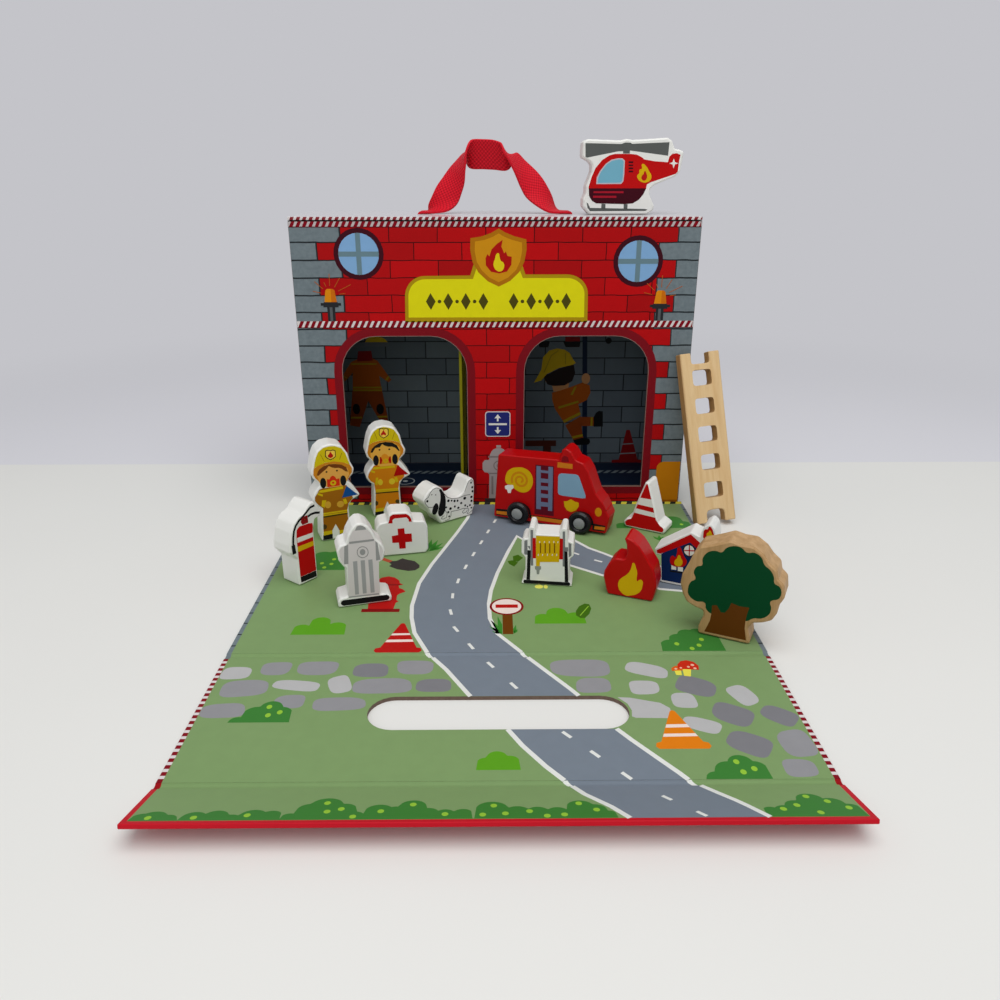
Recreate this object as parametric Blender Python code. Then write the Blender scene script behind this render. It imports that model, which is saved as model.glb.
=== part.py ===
"""Toy fire station that folds out of its own carry case, with its loose wooden pieces.

The case is an upright box of paper-covered board. Its cover unfolds to the front as a
play mat: a long panel, a short panel with a slot for the handle, and a closing flap.
Lengths are metres, +Z is up, the doors face -Y, and the origin is the centre of the
underside of the case. The cover is drawn open, the roof shut.
"""
import math

import bmesh
import bpy
from mathutils import Euler, Matrix, Vector

# Case
case_width = 0.265
case_depth = 0.088
case_height = 0.198
board = 0.002
board_edge = 0.0003
seam = 0.0003
cut_overrun = 0.003
merge_distance = 0.00001

# Front wall
door_width = 0.0845
door_sill_height = 0.014
door_top_height = 0.122
door_corner_radius = 0.024
door_centre_distance = 0.124
divider_place = -0.024

# Cover
cover_clearance = 0.0005
cover_overhang = 0.0025
fold_gap = 0.0048
flap_length = 0.029
flap_tilt = math.radians(17.5)
paper = 0.0004
slot_end_clearance = 0.0066
slot_side_clearance = 0.0020

# Closing magnets
magnet_radius = 0.005
magnet_thickness = 0.0014
magnet_spacing = 0.160
magnet_fit = 0.0003

# Webbing handle
strap_width = 0.020
strap_thickness = 0.0014
strap_half_span = 0.0515
strap_rise = 0.038
strap_tail = 0.015
slit_fit = 0.0004
mitre_limit_share = 0.7

# Loose wooden pieces
wood_thickness = 0.015
wood_edge = 0.0010
corner_limit_share = 0.45
firefighter_width = 0.0306
firefighter_height = 0.065
extinguisher_width = 0.025
extinguisher_height = 0.048
hydrant_width = 0.0295
hydrant_height = 0.049
kit_width = 0.0325
kit_height = 0.029
dog_width = 0.042
dog_height = 0.028
reel_width = 0.030
reel_height = 0.0362
cone_width = 0.029
cone_height = 0.0345
flame_width = 0.030
flame_height = 0.0365
house_width = 0.036
house_height = 0.0415
tree_width = 0.051
tree_height = 0.055
helicopter_width = 0.0665
helicopter_height = 0.0468

# Wooden ladder
ladder_width = 0.028
ladder_length = 0.115
ladder_thickness = 0.008
ladder_edge = 0.0006
ladder_hole_width = 0.0135
ladder_hole_height = 0.0105
ladder_hole_pitch = 0.019
ladder_first_hole = 0.017
ladder_hole_radius = 0.002
ladder_yaw = math.radians(12)
ladder_lean = math.radians(18)
ladder_roll = math.radians(3.5)

# Fire engine
engine_length = 0.0815
engine_height = 0.0552
engine_ground_clearance = 0.0015
engine_wheelbase = 0.0437
wheel_radius = 0.0078
wheel_width = 0.0045
wheel_shoulder = 0.0012
wheel_gap = 0.0005
axle_radius = 0.0015
axle_fit = 0.0003
hub_radius = 0.0038
hub_height = 0.0013
hub_crown_share = 0.6
hub_crown_drop_share = 0.2
hub_rim_share = 0.4
wheel_recess = 0.0008
wheel_dish_share = 0.68

# Numbers of steps on round shapes
corner_steps = 3
arch_steps = 8
disc_sides = 28
hole_sides = 20
strap_steps = 3

# Outlines: across as a share of the width, up as a share of the height, and the corner's
# radius as a share of the width
firefighter_shares = (
    (-0.38, 0.00, 0.04), (0.26, 0.00, 0.04), (0.24, 0.33, 0.08), (0.32, 0.395, 0.06),
    (0.44, 0.42, 0.06), (0.50, 0.44, 0.03), (0.31, 0.575, 0.03), (0.25, 0.605, 0.05),
    (0.385, 0.67, 0.06), (0.41, 0.72, 0.10), (0.34, 0.79, 0.10), (0.30, 0.88, 0.12),
    (0.18, 0.97, 0.14), (-0.04, 1.00, 0.20), (-0.21, 0.985, 0.14), (-0.33, 0.94, 0.14),
    (-0.40, 0.87, 0.12), (-0.44, 0.79, 0.12), (-0.475, 0.715, 0.10), (-0.45, 0.67, 0.08),
    (-0.34, 0.615, 0.04), (-0.33, 0.585, 0.04), (-0.46, 0.505, 0.10), (-0.50, 0.445, 0.08),
    (-0.43, 0.39, 0.08), (-0.33, 0.355, 0.05),
)
extinguisher_shares = (
    (-0.33, 0.00, 0.04), (0.22, 0.00, 0.04), (0.22, 0.66, 0.06), (0.28, 0.765, 0.04),
    (0.47, 0.785, 0.05), (0.50, 0.835, 0.06), (0.42, 0.91, 0.10), (0.29, 0.99, 0.08),
    (0.19, 1.00, 0.08), (0.06, 0.95, 0.12), (-0.03, 0.90, 0.12), (-0.18, 0.86, 0.14),
    (-0.33, 0.82, 0.16), (-0.43, 0.71, 0.16), (-0.495, 0.55, 0.14), (-0.50, 0.46, 0.06),
    (-0.42, 0.405, 0.06), (-0.33, 0.35, 0.06),
)
hydrant_shares = (
    (-0.50, 0.00, 0.04), (0.49, 0.00, 0.04), (0.50, 0.06, 0.04), (0.45, 0.09, 0.03),
    (0.29, 0.11, 0.03), (0.28, 0.49, 0.04), (0.38, 0.53, 0.06), (0.43, 0.63, 0.12),
    (0.38, 0.715, 0.08), (0.27, 0.79, 0.03), (0.23, 0.86, 0.08), (0.14, 0.95, 0.10),
    (0.04, 0.995, 0.08), (-0.06, 1.00, 0.08), (-0.15, 0.955, 0.10), (-0.24, 0.86, 0.08),
    (-0.28, 0.775, 0.03), (-0.40, 0.755, 0.08), (-0.455, 0.69, 0.10), (-0.43, 0.58, 0.08),
    (-0.35, 0.50, 0.05), (-0.30, 0.47, 0.03), (-0.30, 0.13, 0.04), (-0.46, 0.11, 0.03),
    (-0.50, 0.07, 0.04),
)
kit_shares = (
    (-0.46, 0.00, 0.05), (0.45, 0.00, 0.05), (0.50, 0.08, 0.06), (0.50, 0.60, 0.08),
    (0.45, 0.745, 0.08), (0.23, 0.775, 0.03), (0.21, 0.89, 0.08), (0.13, 0.985, 0.08),
    (-0.16, 1.00, 0.10), (-0.235, 0.94, 0.08), (-0.26, 0.80, 0.03), (-0.42, 0.765, 0.08),
    (-0.475, 0.66, 0.08), (-0.50, 0.10, 0.06),
)
dog_shares = (
    (-0.18, 0.00, 0.04), (0.45, 0.00, 0.04), (0.48, 0.26, 0.10), (0.49, 0.51, 0.10),
    (0.50, 0.75, 0.10), (0.49, 0.91, 0.08), (0.43, 1.00, 0.06), (0.36, 0.95, 0.06),
    (0.31, 0.81, 0.08), (0.25, 0.65, 0.10), (0.14, 0.585, 0.12), (0.00, 0.63, 0.10),
    (-0.08, 0.76, 0.10), (-0.14, 0.91, 0.08), (-0.22, 1.00, 0.06), (-0.29, 1.00, 0.06),
    (-0.38, 0.93, 0.10), (-0.46, 0.81, 0.08), (-0.50, 0.70, 0.06), (-0.48, 0.60, 0.06),
    (-0.41, 0.46, 0.08), (-0.36, 0.31, 0.06), (-0.27, 0.24, 0.05),
)
reel_shares = (
    (-0.49, 0.00, 0.03), (0.48, 0.00, 0.03), (0.48, 0.04, 0.03), (0.42, 0.10, 0.03),
    (0.42, 0.47, 0.03), (0.50, 0.55, 0.05), (0.49, 0.76, 0.05), (0.38, 0.80, 0.03),
    (0.355, 1.00, 0.05), (0.26, 1.00, 0.05), (0.21, 0.88, 0.03), (-0.23, 0.88, 0.03),
    (-0.26, 1.00, 0.05), (-0.36, 1.00, 0.05), (-0.37, 0.80, 0.03), (-0.46, 0.79, 0.04),
    (-0.50, 0.74, 0.05), (-0.50, 0.54, 0.04), (-0.42, 0.46, 0.03), (-0.42, 0.10, 0.03),
    (-0.49, 0.03, 0.03),
)
cone_shares = (
    (-0.44, 0.00, 0.05), (0.45, 0.00, 0.05), (0.50, 0.05, 0.05), (0.50, 0.13, 0.05),
    (0.42, 0.18, 0.05), (0.32, 0.22, 0.05), (0.05, 0.97, 0.04), (0.01, 1.00, 0.04),
    (-0.05, 0.98, 0.04), (-0.24, 0.50, 0.20), (-0.33, 0.22, 0.05), (-0.44, 0.18, 0.05),
    (-0.50, 0.12, 0.05), (-0.50, 0.05, 0.05),
)
flame_shares = (
    (-0.40, 0.00, 0.04), (0.44, 0.00, 0.04), (0.50, 0.25, 0.10), (0.48, 0.38, 0.12),
    (0.43, 0.53, 0.12), (0.33, 0.65, 0.14), (0.23, 0.78, 0.14), (0.13, 0.89, 0.12),
    (0.03, 0.955, 0.10), (-0.09, 1.00, 0.04), (-0.145, 0.975, 0.03), (-0.10, 0.88, 0.05),
    (-0.08, 0.74, 0.08), (-0.11, 0.63, 0.06), (-0.30, 0.63, 0.08), (-0.42, 0.51, 0.10),
    (-0.49, 0.38, 0.08), (-0.50, 0.28, 0.08), (-0.43, 0.06, 0.06),
)
house_shares = (
    (-0.37, 0.00, 0.03), (0.43, 0.00, 0.03), (0.43, 0.51, 0.02), (0.50, 0.52, 0.03),
    (0.44, 0.585, 0.03), (0.45, 0.79, 0.06), (0.41, 0.93, 0.08), (0.33, 1.00, 0.06),
    (0.24, 0.93, 0.06), (0.20, 0.78, 0.03), (0.05, 0.83, 0.04), (-0.50, 0.49, 0.03),
    (-0.47, 0.41, 0.03), (-0.38, 0.41, 0.02),
)
helicopter_shares = (
    (-0.41, 0.00, 0.03), (0.17, 0.00, 0.03), (0.23, 0.05, 0.03), (0.24, 0.11, 0.04),
    (0.19, 0.25, 0.05), (0.19, 0.34, 0.03), (0.23, 0.39, 0.03), (0.43, 0.50, 0.04),
    (0.475, 0.56, 0.03), (0.50, 0.82, 0.03), (0.45, 0.85, 0.03), (0.405, 0.86, 0.02),
    (0.375, 0.96, 0.03), (0.33, 1.00, 0.03), (-0.01, 0.97, 0.05), (-0.07, 0.985, 0.04),
    (-0.13, 0.965, 0.05), (-0.46, 0.98, 0.04), (-0.495, 0.94, 0.02), (-0.50, 0.75, 0.03),
    (-0.43, 0.70, 0.03), (-0.40, 0.65, 0.03), (-0.40, 0.56, 0.05), (-0.45, 0.38, 0.08),
    (-0.45, 0.28, 0.05), (-0.475, 0.20, 0.03), (-0.475, 0.10, 0.04),
)
engine_shares = (
    (0.000, 0.00, 0.010), (0.975, 0.00, 0.015), (1.000, 0.21, 0.020), (0.970, 0.30, 0.020),
    (0.940, 0.39, 0.030), (0.880, 0.49, 0.030), (0.813, 0.745, 0.040), (0.770, 0.84, 0.030),
    (0.705, 0.87, 0.020), (0.665, 0.96, 0.025), (0.625, 1.00, 0.030), (0.589, 0.98, 0.020),
    (0.567, 0.85, 0.012), (0.040, 0.82, 0.020),
)
ladder_shares = (
    (-0.50, 0.00, 0.03), (-0.23, 0.00, 0.03), (-0.23, 0.075, 0.12), (0.23, 0.075, 0.12),
    (0.23, 0.00, 0.03), (0.50, 0.00, 0.03), (0.50, 1.00, 0.03), (0.23, 1.00, 0.03),
    (0.23, 0.935, 0.07), (-0.23, 0.935, 0.07), (-0.23, 1.00, 0.03), (-0.50, 1.00, 0.03),
)
tree_shares = (
    (-0.28, 0.00, 0.03), (0.24, 0.00, 0.03), (0.22, 0.09, 0.06), (0.20, 0.16, 0.06),
    (0.24, 0.225, 0.04), (0.33, 0.25, 0.06), (0.41, 0.29, 0.06), (0.45, 0.37, 0.06),
    (0.46, 0.46, 0.04), (0.50, 0.54, 0.06), (0.48, 0.66, 0.06), (0.42, 0.71, 0.04),
    (0.40, 0.79, 0.06), (0.32, 0.85, 0.05), (0.26, 0.92, 0.06), (0.16, 0.98, 0.06),
    (0.04, 0.98, 0.04), (-0.06, 1.00, 0.06), (-0.16, 0.955, 0.05), (-0.25, 0.92, 0.06),
    (-0.34, 0.89, 0.06), (-0.40, 0.80, 0.05), (-0.44, 0.69, 0.05), (-0.49, 0.58, 0.06),
    (-0.50, 0.48, 0.06), (-0.47, 0.38, 0.06), (-0.42, 0.30, 0.06), (-0.33, 0.265, 0.06),
    (-0.25, 0.25, 0.04), (-0.24, 0.19, 0.05), (-0.28, 0.08, 0.06),
)

# Handle route: across as a share of the half span, up as a share of the rise, and the
# direction from the strap's near edge to its far edge, across and up
strap_route_shares = (
    (-0.906, 0.030, 0.00, 0.00), (-0.834, 0.045, -0.30, 0.06), (-0.751, 0.105, -0.70, 0.16),
    (-0.669, 0.230, -0.86, 0.22), (-0.607, 0.400, -0.84, 0.20), (-0.545, 0.560, -0.72, 0.16),
    (-0.494, 0.730, -0.52, 0.10), (-0.443, 0.860, -0.32, 0.08), (-0.396, 0.985, -0.10, 0.05),
    (-0.370, 1.035, -0.04, -0.16), (-0.340, 1.025, -0.05, -0.50), (-0.293, 0.990, -0.08, -0.80),
    (-0.154, 0.985, 0.00, -0.90), (-0.015, 0.975, 0.02, -0.90), (0.103, 0.945, 0.08, -0.76),
    (0.162, 0.960, 0.06, -0.36), (0.191, 0.975, 0.02, 0.08), (0.237, 0.945, 0.12, 0.26),
    (0.329, 0.780, 0.36, 0.36), (0.443, 0.575, 0.54, 0.48), (0.535, 0.405, 0.60, 0.50),
    (0.659, 0.220, 0.46, 0.36), (0.756, 0.080, 0.24, 0.16), (0.844, 0.035, 0.05, 0.03),
    (0.906, 0.030, 0.00, 0.00),
)

# Places on the long panel: across as a share of the cover's width, out from the fold as a
# share of the panel's reach, and the turn in degrees
firefighter_left_shares = (-0.389, 0.270, 22)
firefighter_right_shares = (-0.280, 0.070, 15)
extinguisher_place_shares = (-0.425, 0.577, 52)
hydrant_place_shares = (-0.277, 0.708, 15.4)
kit_place_shares = (-0.223, 0.392, 11.8)
dog_place_shares = (-0.133, 0.135, 36.5)
engine_place_shares = (0.144, 0.183, -23)
reel_place_shares = (0.111, 0.597, -8)
cone_place_shares = (0.379, 0.217, -30)
flame_place_shares = (0.284, 0.677, -22)
house_place_shares = (0.409, 0.611, -25)
tree_place_shares = (0.444, 0.902, -26)
# The helicopter's place on the roof, as shares of the case's width and depth
helicopter_place_shares = (0.338, -0.135, 2)

# What follows from the sizes
half_width = case_width / 2
half_depth = case_depth / 2
cover_width = case_width + cover_overhang * 2
half_cover = cover_width / 2
slot_length = (strap_half_span + slot_end_clearance) * 2
slot_width = strap_width + slot_side_clearance * 2
wall_foot = board + seam
roof_under = case_height - board
wall_top = roof_under - seam
setback = fold_gap / 2
base_fold_y = -half_depth - cover_clearance - board
long_reach = case_height + cover_clearance + board
top_fold_y = base_fold_y - long_reach
short_reach = case_depth + (cover_clearance + board) * 2
flap_fold_y = top_fold_y - short_reach
flap_middle = setback + flap_length / 2
toy_floor = board + seam


def clear_scene():
    for thing in list(bpy.data.objects):
        bpy.data.objects.remove(thing, do_unlink=True)


def paint(name, colour, roughness, metallic=0.0):
    material = bpy.data.materials.new(name)
    material.use_nodes = True
    shader = material.node_tree.nodes["Principled BSDF"]
    shader.inputs["Base Color"].default_value = (*colour, 1.0)
    shader.inputs["Roughness"].default_value = roughness
    shader.inputs["Metallic"].default_value = metallic
    material.diffuse_color = (*colour, 1.0)
    return material


def piece(name, bm, colour, roughness, metallic=0.0):
    """A closed mesh becomes a named object with its own material."""
    bmesh.ops.recalc_face_normals(bm, faces=bm.faces)
    mesh = bpy.data.meshes.new(name)
    bm.to_mesh(mesh)
    bm.free()
    mesh.materials.append(paint(name, colour, roughness, metallic))
    thing = bpy.data.objects.new(name, mesh)
    bpy.context.collection.objects.link(thing)
    return thing


def soften(thing, width):
    """Chamfer the sharp rims and leave the stretches of arcs as they are."""
    bevel = thing.modifiers.new("rim", "BEVEL")
    bevel.width = width
    bevel.segments = 1
    bevel.limit_method = "ANGLE"
    bevel.angle_limit = math.radians(50)
    return thing


def smooth(thing, angle):
    thing.data.shade_smooth()
    thing.data.set_sharp_from_angle(angle=math.radians(angle))
    return thing


def block_mesh(low, high):
    bm = bmesh.new()
    size = Vector(high) - Vector(low)
    middle = (Vector(high) + Vector(low)) / 2
    stretch = Matrix.Diagonal((*size, 1.0))
    bmesh.ops.create_cube(bm, size=1.0, matrix=Matrix.Translation(middle) @ stretch)
    return bm


def panel(name, low, high, colour, roughness=0.5):
    """A board with the small round that wrapped paper leaves on its edges."""
    return soften(piece(name, block_mesh(low, high), colour, roughness), board_edge)


def rounded_outline(shares, width, height, steps=corner_steps):
    """Corners given as shares become a closed outline with rounded corners."""
    corners = [Vector((x * width, z * height)) for x, z, _ in shares]
    radii = [radius * width for _, _, radius in shares]
    points = []
    for n, corner in enumerate(corners):
        back = corners[n - 1] - corner
        ahead = corners[(n + 1) % len(corners)] - corner
        half_turn = (math.pi - back.angle(ahead)) / 2
        reach = radii[n] * math.tan(half_turn)
        reach = min(reach, back.length * corner_limit_share, ahead.length * corner_limit_share)
        start = corner + back.normalized() * reach
        end = corner + ahead.normalized() * reach
        for step in range(steps + 1):
            t = step / steps
            points.append(start * (1 - t) ** 2 + corner * 2 * t * (1 - t) + end * t ** 2)
    return points


def slab_mesh(points, thickness):
    """An outline in X and Z, drawn through the thickness along Y."""
    bm = bmesh.new()
    verts = [bm.verts.new((p[0], -thickness / 2, p[1])) for p in points]
    face = bm.faces.new(verts)
    grown = bmesh.ops.extrude_face_region(bm, geom=[face])
    moved = [v for v in grown["geom"] if isinstance(v, bmesh.types.BMVert)]
    bmesh.ops.translate(bm, verts=moved, vec=(0, thickness, 0))
    return bm


def turned_mesh(profile, sides):
    """A closed profile of radius and height pairs, turned about the Y axis."""
    bm = bmesh.new()
    ring = [bm.verts.new((radius, along, 0)) for radius, along in profile]
    closed = profile[0][0] > 0
    pairs = zip(ring, ring[1:] + ring[:1]) if closed else zip(ring, ring[1:])
    edges = [bm.edges.new(pair) for pair in pairs]
    bmesh.ops.spin(bm, geom=ring + edges, cent=(0, 0, 0), axis=(0, 1, 0),
                   angle=math.tau, steps=sides, use_duplicate=False)
    bmesh.ops.remove_doubles(bm, verts=bm.verts, dist=merge_distance)
    return bm


def cut(target, bm, name):
    """Take a shape out of a piece. The cutter stays as a hidden guide."""
    cutter = piece(name, bm, (0.5, 0.5, 0.5), 0.5)
    cutter.hide_render = True
    cutter.display_type = "WIRE"
    boolean = target.modifiers.new(name, "BOOLEAN")
    boolean.operation = "DIFFERENCE"
    boolean.solver = "EXACT"
    boolean.object = cutter
    return cutter


def place(thing, where, turn=0.0, lean=0.0, roll=0.0):
    thing.location = where
    thing.rotation_euler = (-lean, -roll, turn)
    return thing


def axis_empty(name, where):
    empty = bpy.data.objects.new(name, None)
    empty.empty_display_size = board
    empty.location = where
    bpy.context.collection.objects.link(empty)
    return empty


def hang_on(thing, empty):
    """Parent a piece to a joint's empty without moving it."""
    thing.parent = empty
    thing.matrix_parent_inverse = Matrix.Translation(empty.location).inverted()
    return thing


def case_boards():
    stone = (0.30, 0.33, 0.36)
    red = (0.55, 0.02, 0.02)
    yellow = (0.72, 0.60, 0.02)
    panel("floor_board", (-half_width, -half_depth, 0), (half_width, half_depth, board), stone)
    back = panel("back_board", (-half_width, half_depth - board, wall_foot),
                 (half_width, half_depth, wall_top), red)
    side_front = -half_depth + board + seam
    side_back = half_depth - board - seam
    for name, left_face, colour in (
        ("left_side_board", -half_width, stone),
        ("right_side_board", half_width - board, stone),
        ("divider_board", divider_place - board / 2, yellow),
    ):
        panel(name, (left_face, side_front, wall_foot), (left_face + board, side_back, wall_top), colour)
    return back


def door_outline():
    """An upright opening with round shoulders, its sill at zero height."""
    half = door_width / 2
    rise = door_top_height - door_sill_height
    points = [Vector((-half, 0)), Vector((half, 0))]
    for side in (1, -1):
        for step in range(arch_steps + 1):
            angle = math.pi / 2 * step / arch_steps
            if side < 0:
                angle += math.pi / 2
            centre_x = side * (half - door_corner_radius)
            points.append(Vector((centre_x + door_corner_radius * math.cos(angle),
                                  rise - door_corner_radius + door_corner_radius * math.sin(angle))))
    return points


def facade():
    front = panel("facade_board", (-half_width, -half_depth, wall_foot),
                  (half_width, -half_depth + board, wall_top), (0.55, 0.02, 0.02))
    for side, name in ((-1, "left_door_cut"), (1, "right_door_cut")):
        bm = slab_mesh(door_outline(), board + cut_overrun)
        centre = (side * door_centre_distance / 2, -half_depth + board / 2, door_sill_height)
        bmesh.ops.translate(bm, verts=bm.verts, vec=centre)
        cut(front, bm, name)
    return front


def roof(roof_axis):
    lid = panel("roof_board", (-half_width, -half_depth, roof_under),
                (half_width, half_depth, case_height), (0.50, 0.02, 0.02))
    slit_half = strap_thickness / 2 + slit_fit
    slit_reach = strap_width / 2 + slit_fit
    for side, name in ((-1, "left_slit_cut"), (1, "right_slit_cut")):
        centre = side * strap_half_span
        low = (centre - slit_half, -slit_reach, roof_under - cut_overrun)
        high = (centre + slit_half, slit_reach, case_height + cut_overrun)
        cut(lid, block_mesh(low, high), name)
    return hang_on(lid, roof_axis)


def curve_through(stations, steps):
    """A smooth curve through hand-chosen stations (Catmull-Rom)."""
    found = []
    for n in range(len(stations) - 1):
        before = stations[max(n - 1, 0)]
        here = stations[n]
        there = stations[n + 1]
        after = stations[min(n + 2, len(stations) - 1)]
        for step in range(steps):
            t = step / steps
            found.append(tuple(
                0.5 * (2 * b + (c - a) * t + (2 * a - 5 * b + 4 * c - d) * t ** 2
                       + (3 * b - a - 3 * c + d) * t ** 3)
                for a, b, c, d in zip(before, here, there, after)))
    found.append(stations[-1])
    return found


def strap_path():
    """Stations of the strap: across, up, and which way its far edge lies, across and up."""
    lying = case_height + seam + strap_thickness / 2
    under = roof_under - seam - strap_thickness / 2
    route = [(x * strap_half_span, max(case_height + z * strap_rise, lying), far_x, far_z)
             for x, z, far_x, far_z in strap_route_shares]
    left = [(-strap_half_span + strap_tail, under, 0, 0), (-strap_half_span, under, 0, 0),
            (-strap_half_span, lying, 0, 0)]
    right = [(strap_half_span, lying, 0, 0), (strap_half_span, under, 0, 0),
             (strap_half_span - strap_tail, under, 0, 0)]
    return left + curve_through(route, strap_steps) + right


def strap(roof_axis):
    """The flat webbing: a ribbon that turns over at its shoulders, mitred at the slits."""
    path = strap_path()
    bm = bmesh.new()
    rings = []
    for n, (x, z, far_x, far_z) in enumerate(path):
        here = Vector((x, 0, z))
        before = Vector((path[n - 1][0], 0, path[n - 1][1])) if n else None
        after = Vector((path[n + 1][0], 0, path[n + 1][1])) if n < len(path) - 1 else None
        into = (here - before).normalized() if before else (after - here).normalized()
        out = (after - here).normalized() if after else into
        run = (into + out).normalized()
        stretch = 1 / max(run.dot(into), mitre_limit_share)
        across = Vector((far_x, math.sqrt(1 - far_x ** 2 - far_z ** 2), far_z))
        half = across * strap_width / 2
        rise = run.cross(across).normalized() * strap_thickness / 2 * stretch
        rings.append([bm.verts.new(here + a + b) for a, b in
                      ((-half, -rise), (half, -rise), (half, rise), (-half, rise))])
    for ring, following in zip(rings, rings[1:]):
        for n in range(len(ring)):
            m = (n + 1) % len(ring)
            bm.faces.new((ring[n], ring[m], following[m], following[n]))
    bm.faces.new(rings[0])
    bm.faces.new(rings[-1])
    handle = piece("handle_strap", bm, (0.60, 0.01, 0.03), 0.8)
    return hang_on(smooth(handle, 40), roof_axis)


def disc_mesh(radius, thickness, where, upright):
    """A flat disc, lying in the floor's plane or upright in the back wall's."""
    bm = bmesh.new()
    bmesh.ops.create_cone(bm, cap_ends=True, segments=hole_sides, radius1=radius, radius2=radius,
                          depth=thickness)
    if upright:
        bmesh.ops.rotate(bm, verts=bm.verts, cent=(0, 0, 0), matrix=Matrix.Rotation(math.pi / 2, 3, "X"))
    bmesh.ops.translate(bm, verts=bm.verts, vec=where)
    return bm


def magnets(holder, label, along_y, height, upright):
    """A magnet in a punched hole near each end of a board, and the objects made."""
    made = []
    for side, hand in ((-1, "left"), (1, "right")):
        where = (side * magnet_spacing / 2, along_y, height)
        hole = disc_mesh(magnet_radius + magnet_fit, board + cut_overrun, where, upright)
        made.append(cut(holder, hole, f"{label}_{hand}_cut"))
        disc = disc_mesh(magnet_radius, magnet_thickness, where, upright)
        steel = piece(f"{label}_{hand}", disc, (0.62, 0.62, 0.64), 0.3, 1.0)
        made.append(smooth(steel, 40))
    return made


def hinge_strip(name, start_y, end_y):
    """The flexible paper that joins two boards across a fold, laid open."""
    bm = block_mesh((-half_cover, end_y, 0), (half_cover, start_y, paper))
    return piece(name, bm, (0.30, 0.36, 0.22), 0.6)


def slot_outline():
    half = slot_length / 2 - slot_width / 2
    points = []
    for side in (1, -1):
        for step in range(arch_steps * 2 + 1):
            angle = math.pi * step / (arch_steps * 2) - math.pi / 2
            if side < 0:
                angle += math.pi
            points.append(Vector((side * half + slot_width / 2 * math.cos(angle),
                                  slot_width / 2 * math.sin(angle))))
    return points


def play_mat(base_axis):
    green = (0.22, 0.32, 0.16)
    far = top_fold_y + setback
    mat = panel("mat_panel", (-half_cover, far, 0), (half_cover, base_fold_y - setback, board), green)
    hang_on(mat, base_axis)
    hinge_strip("base_hinge_strip", -half_depth - seam, base_fold_y - setback + seam)
    strip = hinge_strip("mat_hinge_strip", far - seam, top_fold_y - setback + seam)
    return hang_on(strip, base_axis)


def cover_top(top_axis):
    green = (0.22, 0.32, 0.16)
    near = top_fold_y - setback
    far = flap_fold_y + setback
    top = panel("cover_top_panel", (-half_cover, far, 0), (half_cover, near, board), green)
    bm = slab_mesh(slot_outline(), board + cut_overrun)
    bmesh.ops.rotate(bm, verts=bm.verts, cent=(0, 0, 0), matrix=Matrix.Rotation(math.pi / 2, 3, "X"))
    bmesh.ops.translate(bm, verts=bm.verts, vec=(0, (near + far) / 2, board / 2))
    cut(top, bm, "handle_slot_cut")
    hang_on(top, top_axis)
    strip = hinge_strip("flap_hinge_strip", far - seam, flap_fold_y - setback + seam)
    return hang_on(strip, top_axis)


def closing_flap(flap_axis):
    """Built flat, then turned up about its fold as it stands on the table."""
    near = flap_fold_y - setback
    flap = panel("flap_panel", (-half_cover, near - flap_length, 0), (half_cover, near, board),
                 (0.55, 0.02, 0.02))
    made = magnets(flap, "flap_magnet", flap_fold_y - flap_middle, board / 2, False)
    for thing in [flap] + made:
        hang_on(thing, flap_axis)
    flap_axis.rotation_euler = (-flap_tilt, 0, 0)


def on_mat(shares):
    """A place on the long panel, from its shares."""
    across, out, turn = shares
    where = (across * cover_width, base_fold_y - out * long_reach, toy_floor)
    return where, math.radians(turn)


def wooden(name, shares, width, height, where, turn, colour):
    """A block sawn to an outline, with its rims eased."""
    points = rounded_outline(shares, width, height)
    block = piece(name, slab_mesh(points, wood_thickness), colour, 0.45)
    soften(smooth(block, 40), wood_edge)
    return place(block, where, turn)


def wooden_pieces():
    white = (0.80, 0.80, 0.77)
    standing = (
        ("firefighter_left_block", firefighter_shares, firefighter_width, firefighter_height,
         firefighter_left_shares, white),
        ("firefighter_right_block", firefighter_shares, firefighter_width, firefighter_height,
         firefighter_right_shares, white),
        ("extinguisher_block", extinguisher_shares, extinguisher_width, extinguisher_height,
         extinguisher_place_shares, white),
        ("hydrant_block", hydrant_shares, hydrant_width, hydrant_height, hydrant_place_shares, white),
        ("first_aid_block", kit_shares, kit_width, kit_height, kit_place_shares, white),
        ("dog_block", dog_shares, dog_width, dog_height, dog_place_shares, white),
        ("hose_reel_block", reel_shares, reel_width, reel_height, reel_place_shares, white),
        ("traffic_cone_block", cone_shares, cone_width, cone_height, cone_place_shares, white),
        ("flame_block", flame_shares, flame_width, flame_height, flame_place_shares, (0.50, 0.01, 0.01)),
        ("burning_house_block", house_shares, house_width, house_height, house_place_shares, white),
        ("tree_block", tree_shares, tree_width, tree_height, tree_place_shares, (0.50, 0.32, 0.17)),
    )
    for name, shares, width, height, spot, colour in standing:
        where, turn = on_mat(spot)
        wooden(name, shares, width, height, where, turn, colour)


def helicopter(roof_axis):
    across, along, turn = helicopter_place_shares
    where = (across * case_width, along * case_depth, case_height + seam)
    block = wooden("helicopter_block", helicopter_shares, helicopter_width, helicopter_height,
                   where, math.radians(turn), (0.80, 0.80, 0.77))
    return hang_on(block, roof_axis)


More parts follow.
